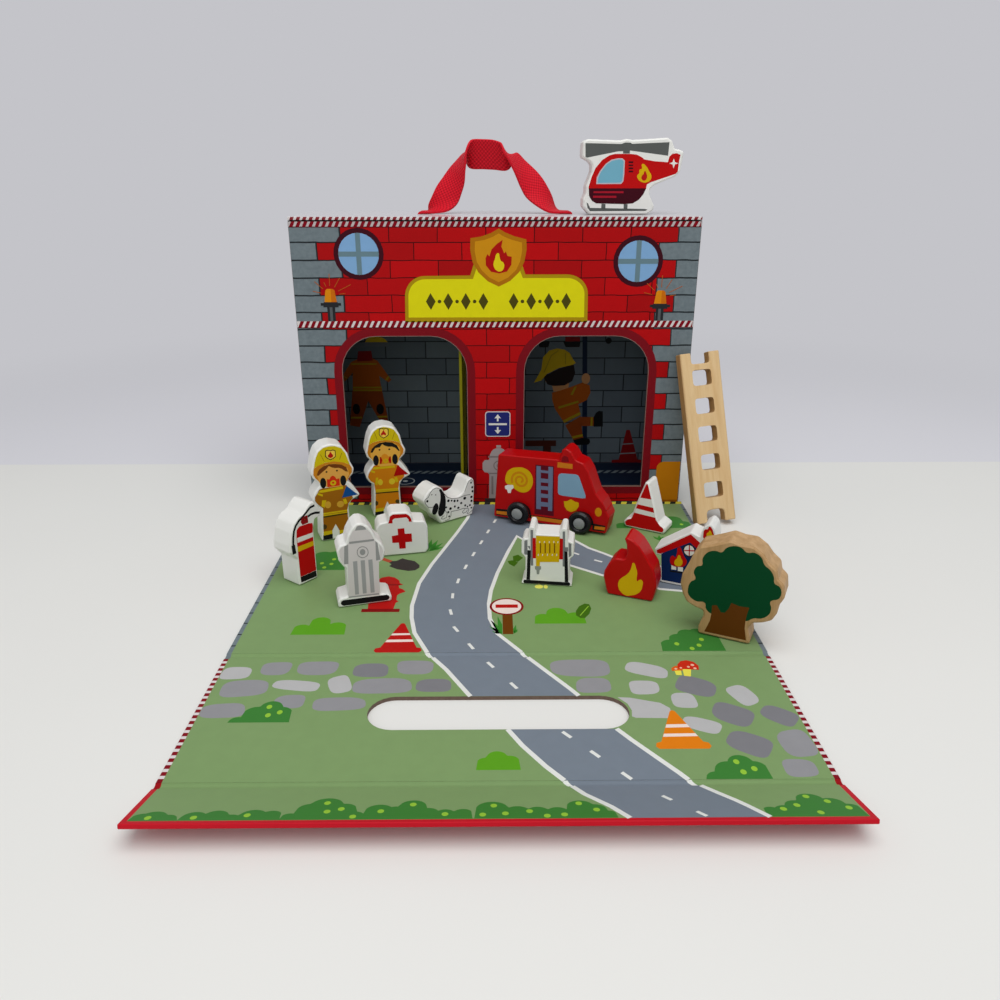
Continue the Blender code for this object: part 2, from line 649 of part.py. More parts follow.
def ladder():
    """Leans on the right-hand edge of the front wall, its two feet on the table."""
    rail = piece("ladder", slab_mesh(rounded_outline(ladder_shares, ladder_width, ladder_length),
                                     ladder_thickness), (0.66, 0.47, 0.27), 0.5)
    soften(smooth(rail, 40), ladder_edge)
    across = ladder_hole_radius / ladder_hole_width
    corner_shares = ((-0.5, 0, across), (0.5, 0, across), (0.5, 1, across), (-0.5, 1, across))
    stance = ladder_stance()
    place(rail, *stance)
    count = int((ladder_length - ladder_first_hole) / ladder_hole_pitch)
    for n in range(count):
        hole = slab_mesh(rounded_outline(corner_shares, ladder_hole_width, ladder_hole_height, 2),
                         ladder_thickness + cut_overrun)
        bmesh.ops.translate(hole, verts=hole.verts, vec=(0, 0, ladder_first_hole + n * ladder_hole_pitch))
        place(cut(rail, hole, f"rung_gap_{n + 1}"), *stance)


def ladder_stance():
    """One foot is on the table, beside the mat, and the back of the top meets the wall's edge."""
    turned = Euler((-ladder_lean, -ladder_roll, ladder_yaw)).to_matrix()
    side = ladder_width / 2
    half = ladder_thickness / 2
    low = turned @ Vector((-side, half, 0))
    top_left = turned @ Vector((-side, half, ladder_length))
    top_right = turned @ Vector((side, half, ladder_length))
    foot_x = half_cover + seam - low.x
    share = (half_width - foot_x - top_left.x) / (top_right.x - top_left.x)
    touch_y = top_left.y + (top_right.y - top_left.y) * share
    foot = Vector((foot_x, -half_depth - seam - touch_y, -low.z))
    return foot, ladder_yaw, ladder_lean, ladder_roll


def wheel_mesh():
    """A wheel with rounded shoulders, a shallow dish and a bore for the axle."""
    half = wheel_width / 2
    bore = axle_radius + axle_fit / 2
    dish = wheel_radius * wheel_dish_share
    floor = half - wheel_recess
    flank = wheel_radius - wheel_shoulder
    profile = (
        (bore, -floor), (dish - wheel_recess, -floor), (dish, -half), (flank, -half),
        (wheel_radius, -half + wheel_shoulder), (wheel_radius, half - wheel_shoulder),
        (flank, half), (dish, half), (dish - wheel_recess, floor), (bore, floor),
    )
    return turned_mesh(profile, disc_sides)


def axle_mesh(head_face):
    """A pin with a domed grey hub at each end."""
    top = head_face + hub_height
    rim = head_face + hub_height * hub_rim_share
    crown = top - hub_height * hub_crown_drop_share
    crown_radius = hub_radius * hub_crown_share
    profile = (
        (0, -top), (crown_radius, -crown), (hub_radius, -rim), (hub_radius, -head_face),
        (axle_radius, -head_face), (axle_radius, head_face), (hub_radius, head_face),
        (hub_radius, rim), (crown_radius, crown), (0, top),
    )
    return turned_mesh(profile, hole_sides)


def fire_engine():
    where, turn = on_mat(engine_place_shares)
    shift = Vector((-engine_length / 2, engine_ground_clearance))
    points = [p + shift for p in rounded_outline(engine_shares, engine_length, engine_height)]
    body = piece("engine_body", slab_mesh(points, wood_thickness), (0.50, 0.01, 0.01), 0.4)
    soften(smooth(body, 40), wood_edge)
    place(body, where, turn)
    wheel_side = wood_thickness / 2 + wheel_gap + wheel_width / 2
    head_face = wheel_side + wheel_width / 2 - wheel_recess + seam
    for name, side in (("rear", -1), ("front", 1)):
        centre = (side * engine_wheelbase / 2, 0, wheel_radius)
        hole = turned_mesh(((0, -wood_thickness), (axle_radius + axle_fit, -wood_thickness),
                            (axle_radius + axle_fit, wood_thickness), (0, wood_thickness)), hole_sides)
        bmesh.ops.translate(hole, verts=hole.verts, vec=centre)
        place(cut(body, hole, f"{name}_axle_cut"), where, turn)
        spot = Matrix.Translation(where) @ Matrix.Rotation(turn, 4, "Z") @ Vector(centre)
        print(name, "wheel centre", [round(v, 5) for v in spot])
        axle = piece(f"engine_{name}_axle", axle_mesh(head_face), (0.40, 0.41, 0.43), 0.35)
        place(smooth(axle, 35), spot, turn)
        for hand, label in ((-1, "near"), (1, "far")):
            wheel = piece(f"engine_{name}_wheel_{label}", wheel_mesh(), (0.02, 0.02, 0.02), 0.3)
            offset = Matrix.Rotation(turn, 4, "Z") @ Vector((0, hand * wheel_side, 0))
            place(smooth(wheel, 35), spot + offset, turn)


def main():
    clear_scene()
    roof_axis = axis_empty("roof_axis", (0, half_depth, roof_under))
    base_axis = axis_empty("base_fold_axis", (0, base_fold_y, 0))
    top_axis = axis_empty("top_fold_axis", (0, top_fold_y, 0))
    flap_axis = axis_empty("flap_fold_axis", (0, flap_fold_y, 0))
    back = case_boards()
    magnets(back, "back_magnet", half_depth - board / 2, long_reach - flap_middle, True)
    facade()
    roof(roof_axis)
    strap(roof_axis)
    play_mat(base_axis)
    cover_top(top_axis)
    closing_flap(flap_axis)
    wooden_pieces()
    helicopter(roof_axis)
    ladder()
    fire_engine()
    print("folds at y", round(base_fold_y, 5), round(top_fold_y, 5), round(flap_fold_y, 5))


main()
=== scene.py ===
# %% [markdown]
# # A toy fire station that folds out of its own carry case
# The real thing is a box of printed, paper-covered board. Its cover lies open as a play mat,
# and painted wooden blocks stand on it. The measured solids are already made, so this lesson
# dresses them: it loads them as a fixed frame, paints them, lays the printed pictures on them
# and makes the few soft pieces, the webbing handle and the paper folds, afresh.

# %% Load the measured model
import bpy
import math
from mathutils import Matrix, Vector


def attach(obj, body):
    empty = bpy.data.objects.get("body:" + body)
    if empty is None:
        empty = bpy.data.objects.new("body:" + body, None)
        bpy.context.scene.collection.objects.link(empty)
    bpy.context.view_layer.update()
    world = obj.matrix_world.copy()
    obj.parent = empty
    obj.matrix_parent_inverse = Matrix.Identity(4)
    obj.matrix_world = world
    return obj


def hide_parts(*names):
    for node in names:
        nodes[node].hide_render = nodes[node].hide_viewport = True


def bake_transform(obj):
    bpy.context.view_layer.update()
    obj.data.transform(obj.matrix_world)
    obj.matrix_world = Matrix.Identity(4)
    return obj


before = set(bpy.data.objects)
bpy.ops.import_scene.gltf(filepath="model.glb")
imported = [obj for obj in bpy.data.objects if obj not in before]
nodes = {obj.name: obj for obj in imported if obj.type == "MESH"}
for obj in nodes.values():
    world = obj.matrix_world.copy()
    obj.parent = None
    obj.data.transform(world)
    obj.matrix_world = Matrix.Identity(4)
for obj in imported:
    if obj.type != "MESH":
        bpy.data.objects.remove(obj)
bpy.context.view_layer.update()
bpy.ops.object.select_all(action="DESELECT")

# %% [markdown]
# ## The camera
# The photograph is taken from a little above the roof, looking down at the mat. The lens and
# the place were found by matching the corners of the case and the mat.

# %% The camera
bpy.ops.object.camera_add(location=(-0.0021, -0.5961, 0.2247),
                          rotation=(math.radians(68.17), 0, math.radians(-0.527)))
camera = bpy.context.object
camera.name = "camera"
camera.data.lens = 29.51
camera.data.sensor_width = 36
camera.data.clip_start = 0.01
bpy.context.scene.camera = camera
bpy.context.scene.view_settings.view_transform = "Standard"
print("camera lens:", camera.data.lens)

# %% [markdown]
# ## Colours and nodes
# Colours are written as they look on a screen, and one function turns them into the linear
# numbers that the renderer counts with. One more function adds a node, sets it and links it.

# %% Two small helpers for materials
def colour(code):
    channels = [int(code[n:n + 2], 16) / 255 for n in (1, 3, 5)]
    return (*[c / 12.92 if c <= 0.04045 else ((c + 0.055) / 1.055) ** 2.4 for c in channels], 1.0)


def add_node(tree, kind, links=None, **settings):
    node = tree.nodes.new("ShaderNode" + kind)
    for name, value in settings.items():
        setattr(node, name, value)
    for socket, source in (links or {}).items():
        if isinstance(source, bpy.types.NodeSocket):
            tree.links.new(source, node.inputs[socket])
        else:
            node.inputs[socket].default_value = source
    return node


def new_material(name):
    """An empty Principled material: its tree, its shader and its object coordinates."""
    material = bpy.data.materials.new(name)
    material.use_nodes = True
    tree = material.node_tree
    shader = tree.nodes["Principled BSDF"]
    place = add_node(tree, "TexCoord").outputs["Object"]
    return material, tree, shader, place


print("sample colour:", [round(c, 3) for c in colour("#C01015")])

# %% [markdown]
# ## Floor and light
# A matt white table top that meets a pale wall behind the case. The wall is only a darker
# tone of the floor, so that it never stands in the way of another view, and far out the floor
# fades for the camera into the room's tone, so no horizon shows. The light is one big soft
# lamp overhead with a fill from the front, as in a room with a pale ceiling.

# %% Floor, lamps and world
room_tone = "#C4C4C9"


def table_top():
    material, tree, shader, place = new_material("matt_pale_table_top")
    spot = add_node(tree, "SeparateXYZ", {0: place})
    depth = add_node(tree, "MapRange", {"Value": spot.outputs["Y"], "From Min": 0.046, "From Max": 0.048})
    cloud = add_node(tree, "TexNoise", {"Vector": place, "Scale": 3.0, "Detail": 3.0})
    front = add_node(tree, "Mix", {0: cloud.outputs["Fac"], 6: colour("#E6E6E2"),
                                   7: colour("#DFDFDB")}, data_type="RGBA")
    tone = add_node(tree, "Mix", {0: depth.outputs["Result"], 6: front.outputs[2],
                                  7: colour("#DADADF")}, data_type="RGBA")
    tree.links.new(tone.outputs[2], shader.inputs["Base Color"])
    shader.inputs["Roughness"].default_value = 0.6
    shader.inputs["Specular IOR Level"].default_value = 0.25
    centred = add_node(tree, "VectorMath", {0: place, 1: (0, 0.2, 0)})
    away = add_node(tree, "VectorMath", {0: centred.outputs[0]}, operation="LENGTH").outputs["Value"]
    fade = add_node(tree, "MapRange", {"Value": away, "From Min": 0.48, "From Max": 0.95},
                    interpolation_type="SMOOTHSTEP")
    seen = add_node(tree, "LightPath")
    looked_at = add_node(tree, "Math", {0: seen.outputs["Is Camera Ray"], 1: seen.outputs["Is Glossy Ray"]},
                         operation="MAXIMUM")
    share = add_node(tree, "Math", {0: fade.outputs["Result"], 1: looked_at.outputs[0]}, operation="MULTIPLY")
    room = add_node(tree, "Emission", {"Color": colour(room_tone), "Strength": 1.0})
    both = add_node(tree, "MixShader", {0: share.outputs[0], 1: shader.outputs[0], 2: room.outputs[0]})
    tree.links.new(both.outputs[0], tree.nodes["Material Output"].inputs["Surface"])
    return material


bpy.ops.mesh.primitive_plane_add(size=8, location=(0, 0, 0))
floor = bpy.context.object
floor.name = "floor"
floor.data.materials.append(table_top())


def soft_lamp(name, where, toward, size, power):
    bpy.ops.object.light_add(type="AREA", location=where)
    lamp = bpy.context.object
    lamp.name = name
    lamp.data.size = size
    lamp.data.energy = power
    lamp.rotation_euler = (Vector(toward) - Vector(where)).to_track_quat("-Z", "Y").to_euler()
    return lamp


soft_lamp("ceiling_lamp", (0.15, -0.55, 1.35), (0, -0.12, 0.05), 1.3, 14)
soft_lamp("front_fill", (-0.5, -1.5, 0.8), (0, 0, 0.08), 1.2, 4.5)
world = bpy.data.worlds.new("pale_room")
bpy.context.scene.world = world
world.use_nodes = True
room = world.node_tree.nodes["Background"]
seen = add_node(world.node_tree, "LightPath")
looked_at = add_node(world.node_tree, "Math", {0: seen.outputs["Is Camera Ray"], 1: seen.outputs["Is Glossy Ray"]},
                     operation="MAXIMUM")
glow = add_node(world.node_tree, "Mix", {0: looked_at.outputs[0], 6: colour("#A6A6A8"),
                                         7: colour(room_tone)}, data_type="RGBA")
world.node_tree.links.new(glow.outputs[2], room.inputs["Color"])
room.inputs["Strength"].default_value = 1.0

# %% [markdown]
# ## Printed paper
# The boards are covered with offset-printed paper under a thin matt film. Ink lies flat, so
# the eye reads colour first, then a soft sheen that breaks up a little over the paper's fibre.
# Each ink gets a faint mottle (patches of about 6 mm) and a fibre bump of about 0.4 mm.

# %% A material for one flat ink on laminated paper
def paper_finish(tree, shader, place, base, gloss=(0.42, 0.56), reflect=0.08):
    """Mottle, sheen and fibre over a base colour, which is a socket or a colour."""
    cloud = add_node(tree, "TexNoise", {"Vector": place, "Scale": 160.0, "Detail": 3.0})
    shade = add_node(tree, "MapRange", {"Value": cloud.outputs["Fac"], "To Min": 0.94, "To Max": 1.04})
    tone = add_node(tree, "HueSaturation", {"Color": base, "Value": shade.outputs["Result"]})
    tree.links.new(tone.outputs["Color"], shader.inputs["Base Color"])
    fibre = add_node(tree, "TexNoise", {"Vector": place, "Scale": 2500.0, "Detail": 2.0})
    sheen = add_node(tree, "MapRange", {"Value": cloud.outputs["Fac"], "To Min": gloss[0], "To Max": gloss[1]})
    bump = add_node(tree, "Bump", {"Height": fibre.outputs["Fac"], "Strength": 0.12, "Distance": 0.0001})
    shader.inputs["Specular IOR Level"].default_value = reflect
    tree.links.new(sheen.outputs["Result"], shader.inputs["Roughness"])
    tree.links.new(bump.outputs["Normal"], shader.inputs["Normal"])


inks = {
    "dark_red": "#4A060C", "frame_red": "#780C18", "stone_grey": "#6D787D",
    "roof_gap_painted_shadow": "#1C1718", "door_edge_painted_highlight": "#85706A", "window_ring": "#3C0A18", "window_blue": "#7DA6D0",
    "window_bar": "#66808A", "sign_yellow": "#DCD40E", "sign_ochre": "#A88A0C", "sign_mark": "#4A4410",
    "shield_orange": "#AC6C08", "shield_light": "#C98A10", "flame_red": "#A80D0A", "flame_yellow": "#DCC814",
    "lamp_orange": "#D8860C", "lamp_deep": "#C66A0A", "ray_orange": "#AE5A1C", "lamp_post": "#26282B",
    "lamp_post_light": "#55595C", "sign_blue": "#232A6E", "plain_white": "#DEDED8", "trim_white": "#D6CFCE",
    "trim_white_in_painted_shadow": "#B9B1B1", "trim_red": "#7E0718", 
    "hydrant_pink": "#A39A99", "hydrant_shade": "#7E7473", "hydrant_foot": "#3A2A2C", "print_orange": "#C27A0A",
    "print_orange_deep": "#9C5A06", "mat_green": "#7B9763", "road_grey": "#747E89", "road_white": "#DDDFDA",
    "cobble": "#8E8E91", "cobble_light": "#B2B2B2", "cobble_dark": "#7A7A7E", "bush_bright": "#589A1E",
    "bush_leaf": "#37812C", "bush_dark": "#3A7A32", "dot_light": "#8FBE3A", "print_red": "#B21613",
    "cone_white": "#E8D8D0", "handle_red": "#A8482E", "hedge_flower": "#E2DE62", "cap_orange": "#D65C18",
    "cap_spot": "#E8B89C",
    "print_dark_red": "#7E0E10", "cone_orange": "#DB7A10", "post_brown": "#663808", "metal_blade": "#36312F",
    "log_green": "#3C6612", "suit_orange": "#A8520A", "suit_brown": "#8A3E10", "suit_band": "#A08A14",
    "boot_black": "#101214", "skin_tone": "#C08A5C", "hair_dark": "#1C1210", "helmet_yellow": "#C4A60E",
    "shelf_grey": "#5C626A", "bench_brown": "#4A2016", "pole_navy": "#0E1E36", "floor_navy": "#142238",
    "floor_stripe": "#7C878C", "ring_white": "#AEB6B8", "mushroom_red": "#C42A14", "mushroom_stem": "#E4DA50",
    "hazard_yellow": "#C9BE3A", "hazard_black": "#25241C", "hinge_red": "#960B14",
    "flap_red": "#BC1424",
}
ink_materials = {}


def ink(name):
    if name not in ink_materials:
        material, tree, shader, place = new_material("printed_paper_" + name)
        paper_finish(tree, shader, place, colour(inks[name]))
        ink_materials[name] = material
    return ink_materials[name]


print("inks:", len(inks))

# %% [markdown]
# ## Drawing a print
# A printed shape is a flat curve, filled and made a hair thick, so it is a closed piece of its
# own. Shapes that lie on others get a higher layer, 0.03 mm each. All the shapes of a picture
# are then made meshes, joined, and laid on the face that carries them.

# %% Helpers that draw outlines in millimetres
layer_height = 0.00003
layer_sunk = 0.00004
drawing = []


def draw(ink_name, *loops, layer=1, rounded=False, made_of=None):
    """Closed outlines in millimetres, filled with one ink; a loop inside another is a hole."""
    curve = bpy.data.curves.new("outline", "CURVE")
    curve.dimensions = "2D"
    curve.fill_mode = "BOTH"
    curve.resolution_u = 5
    curve.extrude = (layer * layer_height + layer_sunk) / 2
    for loop in loops:
        spline = curve.splines.new("BEZIER" if rounded else "POLY")
        points = spline.bezier_points if rounded else spline.points
        points.add(len(loop) - 1)
        for point, (x, y) in zip(points, loop):
            if rounded:
                point.co = (x / 1000, y / 1000, 0)
                point.handle_left_type = point.handle_right_type = "AUTO"
            else:
                point.co = (x / 1000, y / 1000, 0, 1)
        spline.use_cyclic_u = True
    thing = bpy.data.objects.new("outline", curve)
    thing.location.z = (layer * layer_height - layer_sunk) / 2
    curve.materials.append(made_of or ink(ink_name))
    bpy.context.collection.objects.link(thing)
    drawing.append(thing)
    return thing


def disc(x, y, radius, tall=None, sides=28):
    tall = radius if tall is None else tall
    return [(x + radius * math.cos(math.tau * n / sides), y + tall * math.sin(math.tau * n / sides))
            for n in range(sides)]


def block(left, low, right, high):
    return [(left, low), (right, low), (right, high), (left, high)]


def band(points, width, closed=False):
    """A line of that width along the points: one loop, or two where it closes on itself."""
    sides = ([], [])
    count = len(points)
    for n, here in enumerate(points):
        here = Vector(here)
        before = Vector(points[n - 1]) if n or closed else here
        after = Vector(points[(n + 1) % count]) if n < count - 1 or closed else here
        into = (here - before).normalized() if here != before else (after - here).normalized()
        out = (after - here).normalized() if here != after else into
        run = (into + out).normalized() if (into + out).length > 0.01 else into
        across = Vector((-run.y, run.x)) * width / 2 / max(run.dot(into), 0.6)
        sides[0].append(tuple(here + across))
        sides[1].append(tuple(here - across))
    return [sides[0], sides[1]] if closed else [sides[0] + sides[1][::-1]]


def face_plane(origin, right, up):
    """The matrix that lays a drawing on a flat face; it looks along right x up."""
    right, up = Vector(right).normalized(), Vector(up).normalized()
    plane = Matrix((right, up, right.cross(up))).transposed().to_4x4()
    plane.translation = Vector(origin)
    return plane


def lay_print(name, plane, body):
    """Turn the drawing's curves into one closed mesh on its face, riding on a body."""
    bpy.ops.object.select_all(action="DESELECT")
    for thing in drawing:
        thing.select_set(True)
    bpy.context.view_layer.objects.active = drawing[0]
    bpy.ops.object.convert(target="MESH")
    bpy.ops.object.mode_set(mode="EDIT")
    bpy.ops.mesh.select_all(action="SELECT")
    bpy.ops.mesh.remove_doubles(threshold=0.000002)
    bpy.ops.mesh.normals_make_consistent(inside=False)
    bpy.ops.object.mode_set(mode="OBJECT")
    bpy.ops.object.transform_apply(location=True, rotation=True, scale=True)
    bpy.ops.object.join()
    piece = bpy.context.object
    piece.name = name
    piece.data.name = name
    piece.data.transform(plane)
    piece.select_set(False)
    drawing.clear()
    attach(piece, body)
    print(name, "faces:", len(piece.data.polygons), "inks:", len(piece.data.materials))
    return piece


# %% [markdown]
# ## The brick and stone print
# The wrap round the case is drawn as red bricks with grey corner stones that are long and
# short by turns. The rows are 11.1 mm high and the bricks 31 mm long. The pattern is made in
# the material, from object coordinates, so it runs over the edges of the board as the paper
# does. A slow noise moves the lines by a third of a millimetre, as a hand-drawn line wavers.

# %% The brick print material
row_height = 0.01111
brick_length = 0.03115


def brick_print(name, across, up, low_edge=0.0046, inside_of=None, stone_only=False):
    """Bricks on the plane of two axes. inside_of names the material of a face left out."""
    material, tree, shader, place = new_material(name)
    waver = add_node(tree, "TexNoise", {"Vector": place, "Scale": 90.0, "Detail": 2.0})
    drift = add_node(tree, "VectorMath", {0: waver.outputs["Color"], 1: (0.5, 0.5, 0.5)}, operation="SUBTRACT")
    moved = add_node(tree, "VectorMath", {0: drift.outputs[0], 1: (0.0011, 0.0011, 0.0011), 2: place},
                     operation="MULTIPLY_ADD")
    spot = add_node(tree, "SeparateXYZ", {0: moved.outputs[0]})
    side = spot.outputs[across]
    height = add_node(tree, "Math", {0: spot.outputs[up], 1: low_edge}, operation="SUBTRACT").outputs[0]
    shifted = add_node(tree, "Math", {0: side, 1: 0.009475}, operation="SUBTRACT").outputs[0]
    flat = add_node(tree, "CombineXYZ", {0: shifted, 1: height})
    bricks = add_node(tree, "TexBrick", {"Vector": flat.outputs[0], "Scale": 1.0, "Mortar Size": 0.00032,
                                         "Mortar Smooth": 0.15, "Brick Width": brick_length,
                                         "Row Height": row_height, "Color1": colour("#BA080E"),
                                         "Color2": colour("#A2080C"), "Mortar": colour("#3C0508")})
    rough = add_node(tree, "TexNoise", {"Vector": place, "Scale": 420.0, "Detail": 4.0})
    stone = add_node(tree, "Mix", {0: rough.outputs["Fac"], 6: colour("#5F6A70"),
                                   7: colour("#7B878C")}, data_type="RGBA")
    stone_bricks = add_node(tree, "TexBrick", {"Vector": flat.outputs[0], "Scale": 1.0, "Mortar Size": 0.0005,
                                               "Mortar Smooth": 0.15, "Brick Width": brick_length,
                                               "Row Height": row_height})
    row = add_node(tree, "Math", {0: height, 1: row_height}, operation="DIVIDE").outputs[0]
    row = add_node(tree, "Math", {0: row}, operation="FLOOR").outputs[0]
    odd = add_node(tree, "Math", {0: row, 1: 2.0}, operation="FLOORED_MODULO").outputs[0]
    joint = stone_bricks.outputs["Fac"]
    if stone_only:
        base = stone.outputs[2]
    else:
        left_edge = add_node(tree, "Math", {0: odd, 1: -0.0155, 2: -0.1}, operation="MULTIPLY_ADD").outputs[0]
        right_edge = add_node(tree, "Math", {0: odd, 1: -0.012, 2: 0.118}, operation="MULTIPLY_ADD").outputs[0]
        from_left = add_node(tree, "Math", {0: left_edge, 1: side}, operation="SUBTRACT").outputs[0]
        from_right = add_node(tree, "Math", {0: side, 1: right_edge}, operation="SUBTRACT").outputs[0]
        within = add_node(tree, "Math", {0: from_left, 1: from_right}, operation="MAXIMUM").outputs[0]
        is_stone = add_node(tree, "Math", {0: within, 1: 0.0}, operation="GREATER_THAN").outputs[0]
        rim = add_node(tree, "Math", {0: within}, operation="ABSOLUTE").outputs[0]
        rim = add_node(tree, "Math", {0: rim, 1: 0.0004}, operation="LESS_THAN").outputs[0]
        rows_only = add_node(tree, "Math", {0: height, 1: row_height}, operation="FLOORED_MODULO").outputs[0]
        near_joint = add_node(tree, "Math", {0: rows_only, 1: row_height / 2}, operation="SUBTRACT").outputs[0]
        near_joint = add_node(tree, "Math", {0: near_joint}, operation="ABSOLUTE").outputs[0]
        line = add_node(tree, "Math", {0: near_joint, 1: row_height / 2 - 0.0005}, operation="GREATER_THAN").outputs[0]
        line = add_node(tree, "Math", {0: line, 1: rim}, operation="MAXIMUM").outputs[0]
        joint = line
        brick_or_stone = add_node(tree, "Mix", {0: is_stone, 6: bricks.outputs["Color"],
                                                7: stone.outputs[2]}, data_type="RGBA")
        base = brick_or_stone.outputs[2]
        joint = add_node(tree, "Math", {0: joint, 1: is_stone}, operation="MULTIPLY").outputs[0]
        joint = add_node(tree, "Math", {0: joint, 1: rim}, operation="MAXIMUM").outputs[0]
    inked = add_node(tree, "Mix", {0: joint, 6: base, 7: colour("#23282B")}, data_type="RGBA")
    base = inked.outputs[2]
    if inside_of:
        axis, limit, sign, inner = inside_of
        plain = add_node(tree, "SeparateXYZ", {0: place}).outputs[axis]
        beyond = add_node(tree, "Math", {0: plain, 1: limit},
                          operation="GREATER_THAN" if sign > 0 else "LESS_THAN").outputs[0]
        both = add_node(tree, "Mix", {0: beyond, 6: base, 7: inner(tree, place)}, data_type="RGBA")
        base = both.outputs[2]
    paper_finish(tree, shader, place, base)
    return material


def raw_board(tree, place):
    """The grey-brown pulp of the board, which shows where it is cut; darker in streaks."""
    layers = add_node(tree, "TexNoise", {"Vector": place, "Scale": 600.0, "Detail": 3.0})
    return add_node(tree, "Mix", {0: layers.outputs["Fac"], 6: colour("#7A675C"),
                                  7: colour("#5C4B42")}, data_type="RGBA").outputs[2]


def hall_bricks(across):
    """The blue-grey bricks printed inside the garage: 31 mm long, in rows of 13.1 mm."""
    def paint(tree, place):
        spot = add_node(tree, "SeparateXYZ", {0: place})
        shifted = add_node(tree, "Math", {0: spot.outputs[across], 1: 0.0237}, operation="SUBTRACT").outputs[0]
        height = add_node(tree, "Math", {0: spot.outputs["Z"], 1: 0.0103}, operation="SUBTRACT").outputs[0]
        flat = add_node(tree, "CombineXYZ", {0: shifted, 1: height})
        bricks = add_node(tree, "TexBrick", {"Vector": flat.outputs[0], "Scale": 1.0, "Mortar Size": 0.00045,
                                             "Mortar Smooth": 0.2, "Brick Width": 0.0312, "Row Height": 0.0131,
                                             "Color1": colour("#66727A"), "Color2": colour("#545F68"),
                                             "Mortar": colour("#1D2327")})
        return bricks.outputs["Color"]
    return paint


print("brick rows:", round(0.198 / row_height, 1))

# %% [markdown]
# ## Covering the boards
# Each board keeps its solid and takes the print of its own side. The front and back carry the
# bricks outside and the hall's bricks inside, and the cut edge of a board shows its raw grey.

# %% Materials on the case's boards
def cover(node_name, material):
    nodes[node_name].material_slots[0].material = material


cover("facade_board", brick_print("brick_print_front", "X", "Z",
                                  inside_of=("Y", -0.04385, 1, raw_board)))
cover("back_board", brick_print("brick_print_back", "X", "Z", inside_of=("Y", 0.0422, -1, hall_bricks("X"))))
cover("left_side_board", brick_print("stone_print_left_side", "Y", "Z", stone_only=True,
                                     inside_of=("X", -0.1322, 1, hall_bricks("Y"))))
cover("right_side_board", brick_print("stone_print_right_side", "Y", "Z", stone_only=True,
                                      inside_of=("X", 0.1322, -1, hall_bricks("Y"))))


def striped_edge(name, top_code, axis, limit, sign, gloss=(0.42, 0.56), reflect=0.08, cut=None):
    """A board with red and white stripes on the face beyond a limit, plain elsewhere."""
    material, tree, shader, place = new_material(name)
    spot = add_node(tree, "SeparateXYZ", {0: place})
    run = spot.outputs["X"] if axis == "Y" else spot.outputs["Y"]
    slant = add_node(tree, "Math", {0: spot.outputs["Z"], 1: -0.45, 2: run}, operation="MULTIPLY_ADD").outputs[0]
    turns = add_node(tree, "Math", {0: slant, 1: 0.0041}, operation="FLOORED_MODULO").outputs[0]
    red = add_node(tree, "Math", {0: turns, 1: 0.0018}, operation="GREATER_THAN").outputs[0]
    stripes = add_node(tree, "Mix", {0: red, 6: colour(inks["trim_white"]),
                                     7: colour(inks["trim_red"])}, data_type="RGBA")
    edge = spot.outputs[axis]
    if sign == 0:
        edge = add_node(tree, "Math", {0: edge}, operation="ABSOLUTE").outputs[0]
    beyond = add_node(tree, "Math", {0: edge, 1: limit},
                      operation="LESS_THAN" if sign < 0 else "GREATER_THAN").outputs[0]
    both = add_node(tree, "Mix", {0: beyond, 6: colour(top_code), 7: stripes.outputs[2]},
                    data_type="RGBA")
    base = both.outputs[2]
    if cut:
        offset = add_node(tree, "VectorMath", {0: place, 1: cut[0]}, operation="SUBTRACT").outputs[0]
        offset = add_node(tree, "VectorMath", {0: offset}, operation="ABSOLUTE").outputs[0]
        offset = add_node(tree, "SeparateXYZ", {0: offset})
        near_x = add_node(tree, "Math", {0: offset.outputs["X"], 1: cut[1]}, operation="LESS_THAN").outputs[0]
        near_y = add_node(tree, "Math", {0: offset.outputs["Y"], 1: cut[2]}, operation="LESS_THAN").outputs[0]
        near = add_node(tree, "Math", {0: near_x, 1: near_y}, operation="MULTIPLY").outputs[0]
        base = add_node(tree, "Mix", {0: near, 6: base, 7: raw_board(tree, place)}, data_type="RGBA").outputs[2]
    paper_finish(tree, shader, place, base, gloss, reflect)
    return material


def one_colour(name, code, gloss=(0.42, 0.56), reflect=0.08):
    material, tree, shader, place = new_material(name)
    paper_finish(tree, shader, place, colour(code), gloss, reflect)
    return material


def two_faces(name, axis, limit, before, beyond):
    """A board whose faces on one side of a limit have another colour."""
    material, tree, shader, place = new_material(name)
    spot = add_node(tree, "SeparateXYZ", {0: place}).outputs[axis]
    past = add_node(tree, "Math", {0: spot, 1: limit}, operation="GREATER_THAN").outputs[0]
    tone = add_node(tree, "Mix", {0: past, 6: colour(before), 7: colour(beyond)}, data_type="RGBA")
    paper_finish(tree, shader, place, tone.outputs[2])
    return material


# The roof's top is painted the pale grey of the room: a painted reflection of the wall that its glossy paper mirrors at
# a grazing angle.
cover("roof_board", striped_edge("striped_paper_roof_painted_wall_reflection", "#C6C4C7", "Y", -0.0436, -1,
                                gloss=(0.2, 0.28), reflect=0.35))
cover("cover_top_panel", striped_edge("striped_paper_cover", "#B01219", "X", 0.1315, 0,
                                     cut=((0, -0.2935, 0), 0.0585, 0.0124)))
cover("flap_panel", one_colour("laminated_paper_flap_red", inks["flap_red"]))
# The divider's sides inside the hall are painted a brighter yellow than its olive front edge: painted light that
# offsets the shade there.
cover("divider_board", two_faces("laminated_paper_divider_yellow", "Y", -0.0412, "#7E7A10", "#B0A416"))
cover("floor_board", one_colour("laminated_paper_floor_navy", inks["floor_navy"]))
cover("mat_panel", brick_print("brick_print_cover", "X", "Y", low_edge=-0.0485))
print("boards covered")

# %% [markdown]
# ## The front's picture
# On the bricks lie the striped trims, the round windows, the empty sign with its shield, two
# lamps and the dark frames of the doors. The sign carries no words, only a plain flame.

# %% The front's trims and door frames
front_plane = face_plane((0, -0.044, 0), (1, 0, 0), (0, 0, 1))


